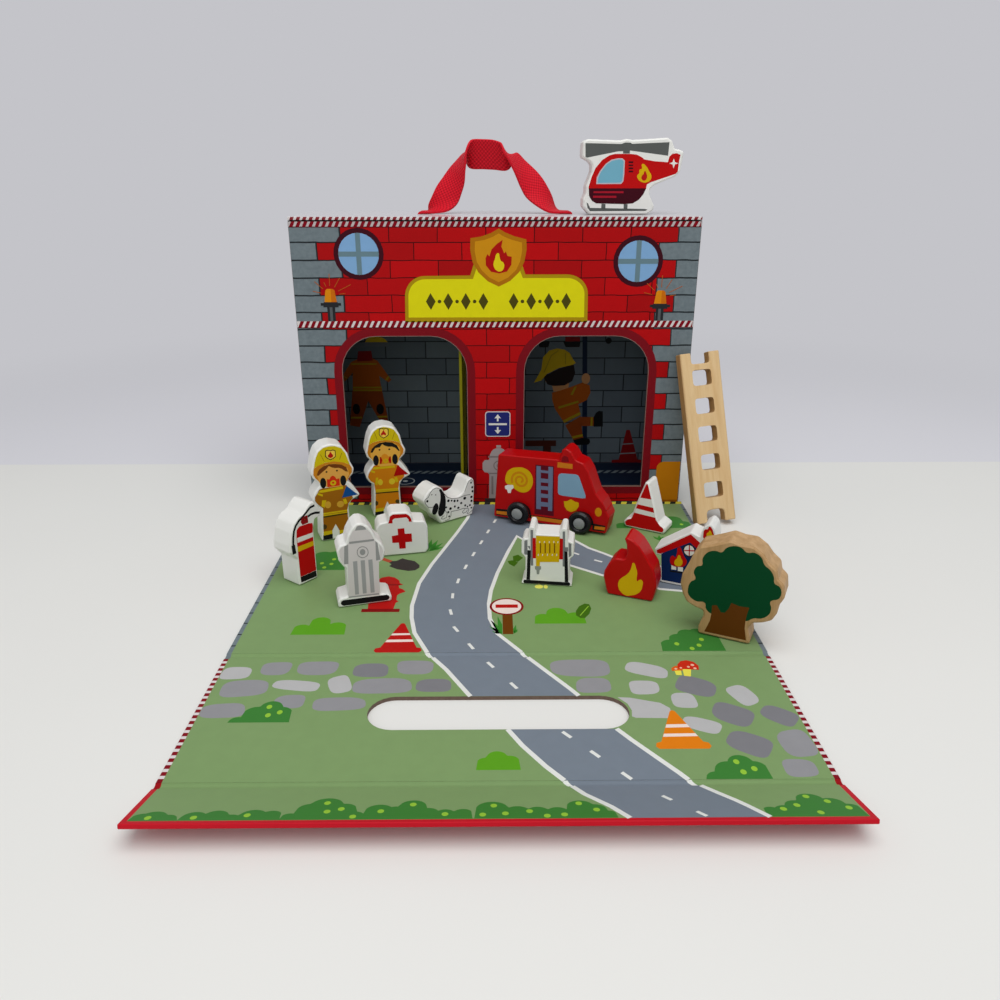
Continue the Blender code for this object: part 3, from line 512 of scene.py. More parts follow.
def slanted(left, right, low, high, pitch, lean):
    """Slanting stripes between two heights, cut at both ends."""
    loops = []
    x = left
    while x < right:
        loops.append([(x, low), (min(x + 0.57 * pitch, right), low), (min(x + 0.57 * pitch + lean, right), high),
                      (min(x + lean, right), high)])
        x += pitch
    return loops


def arc(x, y, across, tall, start, end, steps=10):
    """Points on an ellipse's arc, by its middle, half sizes and angles in degrees."""
    angles = [math.radians(start + (end - start) * n / steps) for n in range(steps + 1)]
    return [(x + across * math.cos(angle), y + tall * math.sin(angle)) for angle in angles]


def striped_trim(low, high, white):
    draw(white, block(-132.2, low, 132.2, high), layer=2)
    draw("trim_red", *slanted(-131.8, 131.8, low, high, 4.1, (high - low) / 2), layer=3)
    draw("dark_red", block(-132.2, low - 0.5, 132.2, low), layer=3)


def door_frame(centre):
    """The 5.8 mm band round a door, and inside it a pale line in the colour of the raw cut edge, painted as the
    highlight on that edge.
    """
    def arch(grow, foot):
        half, high, radius = 42.25 + grow, 122 + grow, 24 + grow
        points = [(centre - half, foot), (centre + half, foot)]
        for n in range(9):
            angle = math.pi / 2 * n / 8
            points.append((centre + half - radius + radius * math.cos(angle),
                           high - radius + radius * math.sin(angle)))
        for n in range(9):
            angle = math.pi / 2 + math.pi / 2 * n / 8
            points.append((centre - half + radius + radius * math.cos(angle),
                           high - radius + radius * math.sin(angle)))
        return points
    draw("frame_red", arch(5.8, 8.4), arch(0.3, 13.7), layer=2)
    # The pale ring along the door's edge is painted highlight, in the colour of the raw cut edge.
    draw("door_edge_painted_highlight", arch(0.35, 13.65), arch(0.02, 13.98), layer=3)


# The upper trim's white is painted greyer: painted shadow of the roof's edge, which overhangs it.
striped_trim(192.1, 195.2, "trim_white_in_painted_shadow")
# A dark band just under the roof's edge: painted shadow in the gap between the roof and the front.
draw("roof_gap_painted_shadow", block(-132.2, 195.2, 132.2, 195.8), layer=3)
striped_trim(128.1, 132.2, "trim_white")
door_frame(-62)
door_frame(62)

# %% Windows, sign, shield and lamps
def round_window(x, y):
    draw("window_ring", disc(x, y, 16.2), layer=2)
    draw("window_blue", disc(x, y, 13.1), layer=3)
    draw("window_bar", block(x - 1.6, y - 13, x + 1.6, y + 13), layer=4)
    draw("window_bar", block(x - 13, y - 1.6, x - 1.6, y + 1.6), block(x + 1.6, y - 1.6, x + 13, y + 1.6), layer=4)


round_window(-88.5, 175.2)
round_window(92.9, 170.5)

sign = [(-60.1, 131.4), *arc(-46.2, 148, 13.4, 13.4, 180, 90), (-16.5, 161.7), (-14.1, 169), (-6, 172), (10, 172),
        (17.2, 169), (19.6, 162.3), *arc(46.9, 149.5, 14, 12.8, 90, 0), (61.3, 131.4)]
draw("sign_ochre", sign, layer=3)
inner_sign = [(-57.8, 134.6), *arc(-46.2, 148, 11.2, 11.3, 180, 90), (-14.7, 159.5), (-12.4, 166), (-5.2, 170),
              (9.4, 170), (15.5, 166), (17.9, 160), *arc(46.9, 149.5, 11.8, 10.5, 90, 0), (59, 134.6)]
draw("sign_yellow", inner_sign, layer=4)
for n in range(4):
    for side in (-1, 1):
        x = 2 + side * (10 + 11.6 * n)
        draw("sign_mark", [(x - 3.2, 145), (x, 139.5), (x + 3.2, 145), (x, 150.5)], layer=5)
        if n < 3:
            draw("sign_mark", disc(x + side * 5.8, 145, 1.2, sides=14), layer=5)
shield = [(2.2, 190.9), (-2.6, 188.2), (-9, 186), (-16, 185), (-16.3, 178), (-14.8, 170), (-11, 163.5), (-5, 158),
          (2.2, 154.6), (9.6, 158.2), (15.6, 163.8), (18.8, 170.4), (20.2, 178), (19.9, 184.2), (12, 186.2),
          (6, 188.6)]
draw("shield_orange", shield, layer=5)
draw("shield_light", [(2 + (x - 2) * 0.84, 172.4 + (y - 172.4) * 0.84) for x, y in shield], layer=6)


def flame_outline(x, y, size):
    """A plain flame: a long tongue that leans aside, two short ones, and a round foot."""
    shares = ((0.0, 0.0), (-0.26, 0.05), (-0.42, 0.24), (-0.43, 0.46), (-0.37, 0.58), (-0.31, 0.51), (-0.24, 0.72),
              (-0.08, 0.88), (0.1, 1.0), (0.06, 0.8), (0.15, 0.6), (0.2, 0.66), (0.25, 0.52), (0.38, 0.5),
              (0.37, 0.26), (0.24, 0.06))
    return [(x + size * a, y + size * b) for a, b in shares]


draw("flame_red", flame_outline(2.6, 163, 21), layer=7)
draw("flame_yellow", [(1.2, 164.6), (-1.2, 167.9), (-0.4, 171.9), (1.8, 175.8), (2.7, 173.4), (3.6, 170.9),
                      (5.2, 169.8), (5.5, 166.4), (3.8, 164.4)], layer=8, rounded=True)


def beacon(x, low, cap, lamp_top, rays):
    """A turning lamp on a post: its rays are hair lines, as if sketched with a pen."""
    draw("lamp_post", block(x - 2.6, low, x + 2.6, cap), layer=3)
    draw("lamp_post_light", block(x - 1, low, x + 0.8, cap), layer=4)
    draw("lamp_post", block(x - 6.7, cap + 1, x + 6.7, cap + 2.7), block(x - 5, cap, x + 5, cap + 1),
         block(x - 4.6, cap + 2.7, x + 4.6, cap + 3.3), layer=5)
    left = [(x - 4.1, cap + 3.3), (x + 0.5, cap + 3.3), (x + 0.5, lamp_top), (x - 1.9, lamp_top),
            (x - 3, lamp_top - 1)]
    draw("lamp_orange", left, layer=4)
    draw("lamp_deep", [(x + 0.5, cap + 3.3), (x + 4.1, cap + 3.3), (x + 3, lamp_top - 1), (x + 1.9, lamp_top),
                       (x + 0.5, lamp_top)], layer=4)
    for angle, reach in rays:
        tip = (x + reach * math.cos(angle), lamp_top - 4 + reach * math.sin(angle))
        root = (x + 6 * math.cos(angle), lamp_top - 4 + 6 * math.sin(angle))
        draw("ray_orange", *band([root, tip], 0.38), layer=5)


ray_fan = [(math.radians(a), r) for a, r in ((6, 10), (26, 15.5), (58, 13), (89, 13.6), (113, 9), (138, 13),
                                             (167, 11.5))]
beacon(-108.8, 132.2, 141.4, 153.2, ray_fan)
beacon(109.2, 132.2, 140.1, 152, ray_fan)

# %% The small blue sign, the printed hydrant and the orange panel
def rounded_block(left, low, right, high, radius):
    return [*arc(right - radius, high - radius, radius, radius, 0, 90, 5),
            *arc(left + radius, high - radius, radius, radius, 90, 180, 5),
            *arc(left + radius, low + radius, radius, radius, 180, 270, 5),
            *arc(right - radius, low + radius, radius, radius, 270, 360, 5)]


draw("trim_white", rounded_block(-7.4, 51.6, 10.2, 69.9, 2.2), layer=2)
draw("sign_blue", rounded_block(-6.8, 52.2, 9.6, 69.3, 1.7), layer=3)
draw("plain_white", [(1.4, 67.8), (-0.9, 65), (0.8, 65), (0.8, 62.8), (2, 62.8), (2, 65), (3.7, 65)], layer=4)
draw("plain_white", [(1.4, 53.6), (3.7, 56.4), (2, 56.4), (2, 58.6), (0.8, 58.6), (0.8, 56.4), (-0.9, 56.4)], layer=4)
draw("plain_white", block(-5, 60, 7.8, 61.4), layer=4)

draw("hydrant_pink", [(-5, 5), (9, 5), (8.6, 24.5), (12, 25), (13.4, 27), (13.4, 32), (12, 34), (8.8, 34.4), (8.2, 38),
                      *arc(2, 38.6, 5.6, 4.6, 10, 170, 8), (-4.2, 38), (-4.8, 34.4), (-8, 34), (-9.4, 32), (-9.4, 27),
                      (-8, 25), (-4.6, 24.5)], block(0.4, 43.4, 3.6, 45.2), layer=2)
draw("hydrant_shade", block(-3.2, 8, -1.8, 22), block(1.3, 8, 2.7, 22), block(5.8, 8, 7.2, 22),
     block(-5.4, 36, 9.4, 37.2), block(-5.4, 23.6, 9.4, 24.6), layer=3)
draw("hydrant_shade", disc(2, 30, 3.8, sides=20), disc(2, 30, 3, sides=20), layer=3)
draw("hydrant_shade", disc(2, 30, 1.5, sides=14), layer=3)
draw("hydrant_foot", block(-8, 1.2, 12, 5), layer=3)
orange_panel = [(115, 1.5), (131.8, 1.5), (131.8, 32.6), *arc(120.4, 27.6, 5.4, 5, 90, 180, 8)]
draw("print_orange", orange_panel, layer=2)
draw("print_orange_deep", block(115, 1.5, 131.8, 3.4), layer=3)
front_print = lay_print("facade_print", front_plane, "case")

# %% [markdown]
# ## Inside the garage
# Through the doors the back wall shows a coat and boots hanging on a shelf's hooks, a sliding
# pole, a bench, a cone and hooks. They are printed too, so they are drawn the same way.

# %% The back wall's print
wall_plane = face_plane((0, 0.042, 0), (1, 0, 0), (0, 0, 1))
draw("suit_orange", [(-107.4, 88.6), (-97.1, 89.3), (-92.4, 87.2), (-82.2, 71.8), (-84.4, 69.7), (-91.7, 75.1),
                     (-89.9, 62.6), (-113.3, 62.7), (-112.3, 77.5), (-119, 70.5), (-120.7, 74.7), (-113.1, 85.9)], layer=1)
draw("suit_brown", [(-113.5, 62.7), (-89.9, 62.6), (-86.6, 41), (-86.7, 38.1), (-93.1, 38.1), (-101.5, 54.8),
                    (-109.6, 33), (-117.3, 34.5)], layer=1)
draw("print_dark_red", [(-107, 94.5), (-96.8, 94.8), (-95.9, 87.2), (-108.2, 86.5)], layer=2)
draw("suit_band", block(-113, 84, -93.2, 85.1), block(-112.8, 65, -90.1, 66.3), block(-112.9, 62.8, -90, 64),
     [(-116.4, 40.2), (-107, 40.2), (-107.4, 41.6), (-116, 41.6)], [(-94.4, 41), (-86.8, 41), (-87, 42.4), (-95, 42.4)],
     [(-118.6, 73.8), (-120.2, 75.6), (-116.9, 73.6), (-117, 72.4)], [(-84.4, 75.2), (-87, 71.9), (-85.6, 71.2), (-83.6, 74)],
     layer=2)
draw("boot_black", disc(-111.3, 48, 3, 4.4, sides=16), disc(-92.3, 48, 3, 4.4, sides=16), layer=2)
draw("shelf_grey", block(-102, 98.2, -83.5, 101.4), block(-120.4, 97.2, -102.4, 98.8), layer=1)
draw("helmet_yellow", [(-101.1, 101.6), (-83.5, 101.6), (-85.5, 104), (-89, 105.8), (-97.5, 105.8), (-99.8, 104)], layer=2)

draw("pole_navy", [(67.4, 121), (71.1, 121), (75.5, 2), (71.6, 2)], layer=1)
draw("bench_brown", block(24.5, 16.4, 49.5, 21.3), block(39.7, 3, 45.4, 16.4), layer=1)
draw("boot_black", [(33.2, 102), (42.7, 102), (41.4, 97.3), (34.6, 97.3)], [(52.9, 102), (66.6, 102), (65.8, 97.5), (55.1, 97.5)],
     disc(88.4, 102.4, 2.4, sides=14), layer=1)
draw("print_dark_red", block(54.6, 102, 66, 105.4), layer=1)
draw("print_dark_red", [(106.4, 30), (109.2, 30), (115, 11), (117, 4.6), (121.4, 4.2), (121.4, 0.8), (95.8, 0.8),
                        (95.8, 4.2), (101.4, 4.6), (103, 12)], layer=1)
draw("floor_stripe", [(103.2, 17.4), (112.9, 18), (112.7, 18.9), (103.5, 18.3)],
     [(101.7, 9.2), (115.2, 9.9), (115, 10.9), (101.9, 10.2)], layer=2)

# %% A firefighter sliding down the pole, seen from behind
draw("helmet_yellow", [(30.7, 69.2), (36.3, 79.6), (37.5, 89.7), (42.2, 94.8), (48.3, 96.6), (54.1, 95.6), (58.2, 93.1),
                       (60.9, 88.3), (63.4, 85), (61, 83.6), (50.1, 81), (40.5, 76), (36.7, 71.2)], layer=3)
draw("suit_band", *band([(38.6, 77.5), (44, 91), (49.5, 94.8)], 0.8), *band([(55.4, 84), (55, 93)], 0.8), layer=4)
draw("hair_dark", [(38.1, 74), (50.1, 80.6), (61.7, 84), (63.2, 77), (61, 70.5), (55, 67), (46, 66.6), (41.4, 67.9)], layer=2)
draw("skin_tone", [(44.6, 69), (58.8, 69), (57.6, 62.6), (46.4, 62)], disc(41.8, 71.6, 2.2, 2.8, sides=14), layer=1)
draw("suit_orange", [(45.4, 61.2), (52.3, 63), (61.6, 66.3), (69.2, 69.4), (74.9, 67), (75.9, 61), (73.2, 55.1),
                     (66.6, 51.5), (68.9, 42.8), (55.8, 35.9), (52.8, 40.6), (47.9, 47.9), (45.4, 55.9)], layer=2)
draw("suit_band", [(54.3, 38), (68.2, 45.2), (68.9, 43.2), (55.6, 36.2)], [(60, 59.4), (63, 65.8), (64.8, 66.4), (61.8, 59)],
     [(50.4, 49.6), (66.4, 54.6), (66.8, 53), (51, 47.8)], layer=3)
draw("skin_tone", disc(71.8, 72.4, 3.4, 4.4, sides=18), layer=2)
draw("suit_brown", [(56.7, 34), (68.9, 41.8), (70.8, 25.9), (71.9, 22.6), (63.8, 21.1)], block(69.2, 33.4, 80, 41), layer=2)
draw("suit_band", [(62.3, 24.6), (70.9, 26.6), (71.3, 24.8), (63.1, 22.8)], block(77, 33.4, 78.6, 41), layer=3)
draw("boot_black", [(63.4, 21.4), (70.9, 23.6), (76.6, 22.6), (77.4, 19.9), (75.8, 17.6), (65.4, 17.2)],
     [(79.4, 40.6), (80.9, 44.2), (83.4, 46.1), (86.5, 45.7), (87.1, 32.9), (79.7, 32.9)], layer=3)
hall_print = lay_print("garage_wall_print", wall_plane, "case")

# %% The garage floor's print
floor_plane = face_plane((0, 0, 0.002), (1, 0, 0), (0, 1, 0))
draw("floor_stripe", *slanted(-128, -27, 17, 23, 6.2, 4.4), layer=1)
draw("floor_stripe", *slanted(-20, 128, 17, 23, 6.2, 4.4), layer=1)
draw("ring_white", *band(disc(-70, 0, 7), 0.9, closed=True), layer=1)
draw("ring_white", disc(-70, 0, 2), layer=1)
garage_floor_print = lay_print("garage_floor_print", floor_plane, "case")

# %% [markdown]
# ## The play mat
# The inner side of the cover is lined with one printed sheet: pale green with a road that
# forks, cobbles, bushes and signs. It stops 2.5 mm short of the board's sides, where the
# wrap turns over. The sheet is one piece on each board, and the folds between are separate.

# %% The long panel's road and lawn
mat_plane = face_plane((0, 0, 0.002), (1, 0, 0), (0, 1, 0))
mat_half = 132.5
road_left = [(-16.6, -48.9), (-17.2, -52.4), (-19.7, -73.5), (-25.9, -97.8), (-33, -122.6), (-39.6, -145.4),
             (-45.3, -170.5), (-47.1, -196.9), (-46.1, -210), (-43.2, -225.6), (-35.2, -244.6)]
road_right = [(13.6, -104.3), (7.4, -127.5), (0.4, -157.6), (-3.4, -179.4), (-4.6, -194.7), (-4, -211.3),
              (0, -226.9), (11.8, -244.6)]
branch_top = [(22, -48.9), (36, -88), (50.8, -111.3), (58.7, -123), (67.3, -131), (73.3, -137.2), (90, -147),
              (110, -152.5), (mat_half, -155)]
branch_low = [(13.6, -104.3), (29, -126), (44.7, -147.7), (62.3, -160.8), (93.8, -178.7), (114.1, -182.7),
              (mat_half, -184.5)]
draw("mat_green", block(-mat_half, -244.6, mat_half, -48.9), layer=1)
draw("road_grey", road_left + road_right[::-1] + branch_low[1:] + branch_top[::-1], layer=2)
draw("road_white", *band(road_left, 2.2), layer=3)
draw("road_white", *band(road_right[::-1] + branch_low[1:], 2.2), layer=3)
draw("road_white", *band(branch_top, 2.2), layer=3)


def dashes(middles, long, wide):
    """Short slanting dashes that follow the line of their middles."""
    loops = []
    for n, here in enumerate(middles):
        there = middles[n + 1] if n < len(middles) - 1 else here
        back = here if n < len(middles) - 1 else middles[n - 1]
        run = (Vector(there) - Vector(back)).normalized() * long / 2
        loops += band([tuple(Vector(here) - run), tuple(Vector(here) + run)], wide)
    return loops


draw("road_white", *dashes([(-0.9, -79.2), (-5.4, -96.6), (-9.8, -113.8), (-14.4, -131.4), (-18.8, -149.2),
                            (-22.7, -167.6), (-25.1, -185.7), (-25.3, -204.1), (-21.8, -222.1),
                            (-13.5, -238.9)], 5.8, 1.6), layer=3)
draw("road_white", *dashes([(49.6, -130.9), (62.6, -141.8), (78, -151.5), (95, -159), (112, -164)], 5.4, 1.6), layer=3)

# %% Bushes, cones, a hydrant and a road sign on the lawn
def clump(kind, foot, lobes, layer=2):
    """A bush with a flat foot: the upper edge of round lobes, each (x, y, radius)."""
    left = min(x - radius for x, y, radius in lobes)
    right = max(x + radius for x, y, radius in lobes)
    points, steps = [(left, foot)], int((right - left) / 0.6)
    for n in range(1, steps):
        here = left + (right - left) * n / steps
        tops = [y + math.sqrt(radius ** 2 - (here - x) ** 2) for x, y, radius in lobes if abs(here - x) < radius]
        points.append((here, max([*tops, foot + 0.2])))
    draw(kind, points + [(right, foot)], layer=layer)


def spots(*middles, layer=3):
    draw("dot_light", *[disc(x, y, 1.25, 1.5, 12) for x, y in middles], layer=layer)


def traffic_cone(kind, middle, half, foot, apex, stripes, layer=3):
    """A cone on a round-ended foot plate; stripes are (height, thickness)."""
    draw(kind, [(middle - half + 1.2, foot), (middle + half - 1.2, foot), (middle + half, foot + 1.5),
                (middle + half - 0.6, foot + 3.8), (middle + half * 0.76, foot + 4.6), (middle + 1.1, apex - 0.6),
                (middle, apex), (middle - 1.1, apex - 0.6), (middle - half * 0.76, foot + 4.6),
                (middle - half + 0.6, foot + 3.8), (middle - half, foot + 1.5)], layer=layer)
    for height, thick in stripes:
        near = 1.1 + (half * 0.76 - 1.1) * (apex - foot - height) / (apex - foot - 4.6) - 0.2
        far = 1.1 + (half * 0.76 - 1.1) * (apex - foot - height - thick) / (apex - foot - 4.6) - 0.2
        draw("cone_white", [(middle - near, foot + height), (middle + near, foot + height + 0.3),
                            (middle + far, foot + height + thick + 0.2), (middle - far, foot + height + thick)],
             layer=layer + 1)


clump("bush_bright", -227, [(-102.6, -221.6, 4.8), (-94, -214.6, 5.4), (-84.6, -219.8, 5.2)])
clump("bush_bright", -216.9, [(24.6, -211.5, 4.8), (32.3, -205.6, 5.6), (42, -210.5, 5.4)])
clump("bush_dark", -244.3, [(88, -239, 5.5), (93, -233, 5), (98.4, -228.8, 5.2), (104, -227.8, 5), (109.4, -231, 5)])
clump("bush_dark", -152.7, [(-108, -133, 6), (-101, -132, 5.4), (-96.8, -139, 5)])
clump("bush_dark", -92, [(86, -88, 5), (92, -84, 5), (98, -88, 4)])
clump("bush_dark", -92, [(116, -86, 5), (122, -78, 6), (128, -85, 4.4)])
spots((-107, -143.5), (-101, -144.5), (-104.5, -149.3), (-100.5, -138), (104.5, -233.5), (102, -239), (97.8, -242),
      (91, -237.6), (119, -83), (126, -86))
draw("log_green", [(42.6, -208.4), (42.9, -203.8), (45.2, -198.4), (48.6, -195.4), (51, -196.2), (51.6, -201),
                   (50, -206.6), (47, -211.4), (44.6, -211.2)], layer=3)
draw("dot_light", *band([(44.8, -208.6), (50.4, -198.4)], 0.5), layer=4)
draw("log_green", [(10.2, -134.6), (13.4, -132.6), (16.4, -137), (13.2, -142.4), (10.2, -141.4)],
     [(6.8, -141.6), (9.6, -140.4), (13.2, -143.4), (10.6, -149), (7.6, -145.4)], layer=3)


def leaves(root, tips, wide):
    """Narrow leaves from one root, each with a belly and a sharp tip."""
    for x, y in tips:
        run = (Vector((x, y)) - Vector(root)).normalized()
        aside, middle = Vector((-run.y, run.x)) * wide, (Vector((x, y)) + Vector(root)) / 2
        draw("bush_leaf", [root, tuple(middle + aside), (x, y), tuple(middle - aside)], layer=3)


leaves((-43.5, -127), [(-45.6, -110.4), (-42, -108.6)], 1.4)
leaves((-42.6, -127), [(-38, -110), (-34.6, -114.6), (-33.6, -120)], 1.6)
leaves((2.5, -227), [(-2.8, -224.6), (-4.2, -219.4), (-3.6, -213), (0.2, -209)], 1.2)
leaves((8.4, -227), [(10.6, -222.6), (9.8, -218)], 0.9)
leaves((106, -112), [(103, -105), (107.4, -103.6), (110, -106)], 1.1)
traffic_cone("print_red", -50.1, 12, -244.3, -215.8, ((9.6, 2.3), (16.2, 1.8)))
right_side = [(-57, -200.4), (-56.4, -193.4), (-55, -192), (-56.4, -190.4), (-56.6, -185), (-55.4, -183),
              (-52.2, -180.5), (-54, -177.6), (-56.2, -176.2), (-57, -173), (-54.4, -172), (-56.6, -170),
              (-57.2, -166.8), (-60.2, -163), (-64, -161.4)]
draw("print_red", right_side + [(-128 - x, y) for x, y in right_side[-2::-1]], layer=3)
draw("print_dark_red", block(-74.2, -203.8, -53.4, -200.4), block(-72, -172.9, -56, -171.6), layer=4)
draw("post_brown", block(2.8, -227.4, 8.2, -206.4), layer=4)
draw("print_dark_red", disc(5.2, -198.3, 9.4), layer=5)
draw("cone_white", disc(5.2, -198.3, 8.1), layer=6)
draw("print_red", block(-0.9, -200, 11.4, -196.3), layer=7)
draw("metal_blade", [(-58.4, -137), (-55.6, -138.8), (-50.4, -141), (-47, -146.6), (-46.8, -150), (-49, -153.4),
                     (-53, -154.4), (-60, -152), (-65.4, -147.9), (-64.2, -145.4), (-66, -142.8), (-64.2, -141),
                     (-61.6, -140.6)], layer=3)
draw("handle_red", *band([(-71.6, -136.8), (-65, -141.8)], 3), layer=4)
draw("hedge_flower", disc(24.3, -175.2, 2.5, 2.2, 14), disc(28.2, -175.4, 1.2, 2.1, 14), layer=3)
long_print = lay_print("mat_long_lining", mat_plane, "play_mat")

# %% The short panel: cobbles, road and the handle's slot
def slot_loop(grow=0.0, half=46.1, radius=12.0, middle=-293.5):
    points = []
    for side in (1, -1):
        for n in range(13):
            angle = math.pi * n / 12 - math.pi / 2 + (0 if side > 0 else math.pi)
            points.append((side * half + (radius + grow) * math.cos(angle),
                           middle + (radius + grow) * math.sin(angle)))
    return points


draw("mat_green", block(-mat_half, -337.6, mat_half, -249.4), slot_loop(0.05), layer=1)
top_left = [(-32, -249.4), (-25, -259.6), (-13.7, -279.9), (-12.7, -281.4)]
top_right = [(14.8, -249.4), (22.8, -260.9), (33.4, -276.1), (36.8, -281.4)]
low_left = [(3.9, -305.6), (9.8, -316.3), (18.8, -329.3), (25.6, -337.6)]
low_right = [(50.8, -305.6), (56.2, -313.2), (65.1, -324.9), (71.8, -333.6), (74.6, -337.6)]
for left_side, right_side in ((top_left, top_right), (low_left, low_right)):
    draw("road_grey", left_side + right_side[::-1], layer=2)
    draw("road_white", *band(left_side, 2.2), layer=3)
    draw("road_white", *band(right_side, 2.2), layer=3)
draw("road_white", *dashes([(-3.6, -255.8), (7.3, -273.3)], 5.6, 1.6), layer=3)
draw("road_white", *dashes([(29, -309.4), (39.6, -322), (50.6, -335.2)], 5.2, 1.6), layer=3)


def cobble(kind, x, y, wide, tall, turn=0.0):
    """A worn stone: an ellipse squared off and a little uneven, turned by some degrees."""
    points = []
    c, s = math.cos(math.radians(turn)), math.sin(math.radians(turn))
    for n in range(28):
        angle = math.tau * n / 28
        swell = 1 + 0.035 * math.sin(2 * angle + x) + 0.03 * math.sin(3 * angle + y)
        a = wide / 2 * swell * math.copysign(abs(math.cos(angle)) ** 0.62, math.cos(angle))
        b = tall / 2 * swell * math.copysign(abs(math.sin(angle)) ** 0.62, math.sin(angle))
        points.append((min(max(x + a * c - b * s, -132.4), 132.4), y + a * s + b * c))
    draw(kind, points, layer=2)


light_stones = ((-125.4, -261.8, 14, 10.4), (-94, -272.3, 22, 8, -9), (-74, -271.5, 10, 14.5, 20),
                (71.5, -260.8, 20, 10.6, -20), (67.8, -275.2, 14.2, 10.6), (112, -281.6, 11, 15, 25),
                (88.3, -303.2, 16.4, 9.2, -25), (84.3, -285.5, 11, 11.6))
stones = ((-107, -258, 14.4, 11), (-87, -257.8, 19, 12), (-40, -257.5, 18, 11.6), (-118, -274.3, 21, 13.6, 5),
          (-54, -273, 27, 12.4, 3), (-122.6, -291.3, 19.6, 10.6, 5), (-94.5, -284.8, 14, 10), (-72, -286.8, 24, 9.8, 3),
          (40, -258.8, 28, 15), (44.5, -273.4, 16, 12.2), (125.2, -315.8, 14.4, 17, 8), (121, -331.2, 13, 11))
dark_stones = ((-61, -260, 16.4, 12), (-30, -272.8, 16, 10.8), (92, -274.5, 19, 13.6, -25), (103.7, -295.8, 18, 14, -30),
               (124, -297, 16.4, 11, -38), (105.3, -316, 19, 13.4, -32))
for kind, group in (("cobble_light", light_stones), ("cobble", stones), ("cobble_dark", dark_stones)):
    for stone in group:
        cobble(kind, *stone)
draw("cobble_light", [(54.4, -282.8), (60, -283.2), (73, -287.2), (76.6, -291), (77, -296.6), (74.4, -298.4),
                      (60.4, -298), (58.8, -297), (59.4, -292.6), (58.2, -287.6)], layer=2)
clump("bush_dark", -299.8, [(-114.2, -299.9, 3.9), (-107.6, -294.2, 5.6), (-101.6, -289.7, 5.2), (-96.4, -293.8, 5)], layer=3)
clump("bush_dark", -337.4, [(86.4, -337.6, 4.6), (92.4, -333, 6), (98, -328.5, 5.3), (103.2, -332, 5)], layer=3)
clump("bush_bright", -331.3, [(-5.6, -327.6, 3.7), (-0.8, -324.4, 4.5), (4.4, -327, 4.3)])
spots((-102.6, -288.7), (-97, -292.7), (-101.7, -294.8), (96.4, -327.3), (102.5, -331.5), (97.6, -333.4), layer=4)
traffic_cone("cone_orange", 77.2, 11.6, -319, -292.8, ((7.8, 2), (13.9, 2.2)))

draw("mushroom_stem", [(88.6, -266), (91.6, -266.6), (93.2, -260), (88.9, -260)],
     [(85, -265.2), (87.6, -265.4), (88, -261.6), (84.8, -261.6)], layer=3)
draw("cap_orange", [(83.6, -261.8), (83.8, -259.4), (86, -257.6), (88.6, -257.8), (89, -261.4)], layer=4)
draw("mushroom_red", [(87, -260.2), (87.2, -256.6), (89.4, -253.6), (92.4, -252.8), (95.6, -254.2), (97.3, -257.6),
                      (96.8, -261)], layer=5)
draw("cap_spot", disc(94.5, -257, 0.9, sides=10), disc(95.1, -259.9, 0.8, sides=10), disc(92.2, -258.6, 0.7, sides=10),
     disc(88.4, -259.4, 0.6, sides=10), disc(85.8, -260.2, 0.7, sides=10), layer=6)
short_print = lay_print("mat_short_lining", mat_plane, "cover_top")

# %% The flap's lining
tilt = math.radians(17.5)
flap_up = Vector((0, math.cos(tilt), -math.sin(tilt)))
flap_normal = Vector((0, math.sin(tilt), math.cos(tilt)))
flap_plane = face_plane(Vector((0, -0.340, 0)) + flap_normal * 0.002 + flap_up * 0.340, (1, 0, 0), flap_up)
draw("mat_green", block(-mat_half, -369.2, mat_half, -342.45), layer=1)
flap_left = [(28.4, -342.45), (32.4, -349.6), (36.8, -355), (41, -360.2), (46.4, -369.2)]
flap_right = [(78.5, -342.45), (84, -350), (88, -355.2), (91.4, -360.4), (96.6, -369.2)]
draw("road_grey", flap_left + flap_right[::-1], layer=2)
draw("road_white", *band(flap_left, 2.2), layer=4)
draw("road_white", *band(flap_right, 2.2), layer=4)
draw("road_white", *dashes([(63, -353.2), (72.8, -366.4)], 4.6, 1.6), layer=3)
clump("bush_dark", -369.1, [(-128.2, -367.6, 4.2), (-124.4, -366.8, 5), (-119, -368, 3.6), (-109.8, -367, 4.6),
                            (-102.2, -366, 4.6), (-96.4, -368, 3.4), (-89, -366, 5), (-82.4, -365.6, 3.8)], layer=2)
clump("bush_dark", -369.1, [(-75.4, -367.4, 3.4), (-69.6, -361, 4.6), (-64, -358, 6.2), (-57, -361, 4.6), (-52, -366, 3),
                            (-44, -362.6, 5.2), (-38, -363, 4), (-32, -359, 5), (-26, -364.4, 4), (-19.8, -365.2, 3.6),
                            (-13.4, -365, 3.6), (-2.8, -361.6, 6), (6.4, -364, 4.6), (13.8, -364.2, 4.2),
                            (21, -364.4, 4), (29.6, -360, 5), (34.8, -362.6, 4.4), (39.4, -366.4, 3)], layer=2)
clump("bush_dark", -369.1, [(98.8, -364.2, 3), (104.4, -364.4, 4.4), (109.6, -360.6, 4.6), (116.2, -355.6, 5.2),
                            (123.2, -359, 4.8), (128.4, -363, 3.9)], layer=2)
spots((-126, -366.9), (-109.7, -366.9), (-91, -365.3), (-64, -355.8), (-62.8, -362.8), (-58, -360.8), (-52.8, -366.9),
      (-43.3, -362.8), (-32, -357.5), (-19.8, -365.4), (-6.2, -366), (-2.2, -358.8), (2, -365.2), (10.8, -363.5),
      (17, -367.2), (23.3, -366.3), (29.3, -357.4), (35.3, -362.6), (103.5, -363), (109.5, -360), (116, -366),
      (115.6, -352.8), (122, -357), (127.8, -362.3))
flap_print = lay_print("mat_flap_lining", flap_plane, "closing_flap")
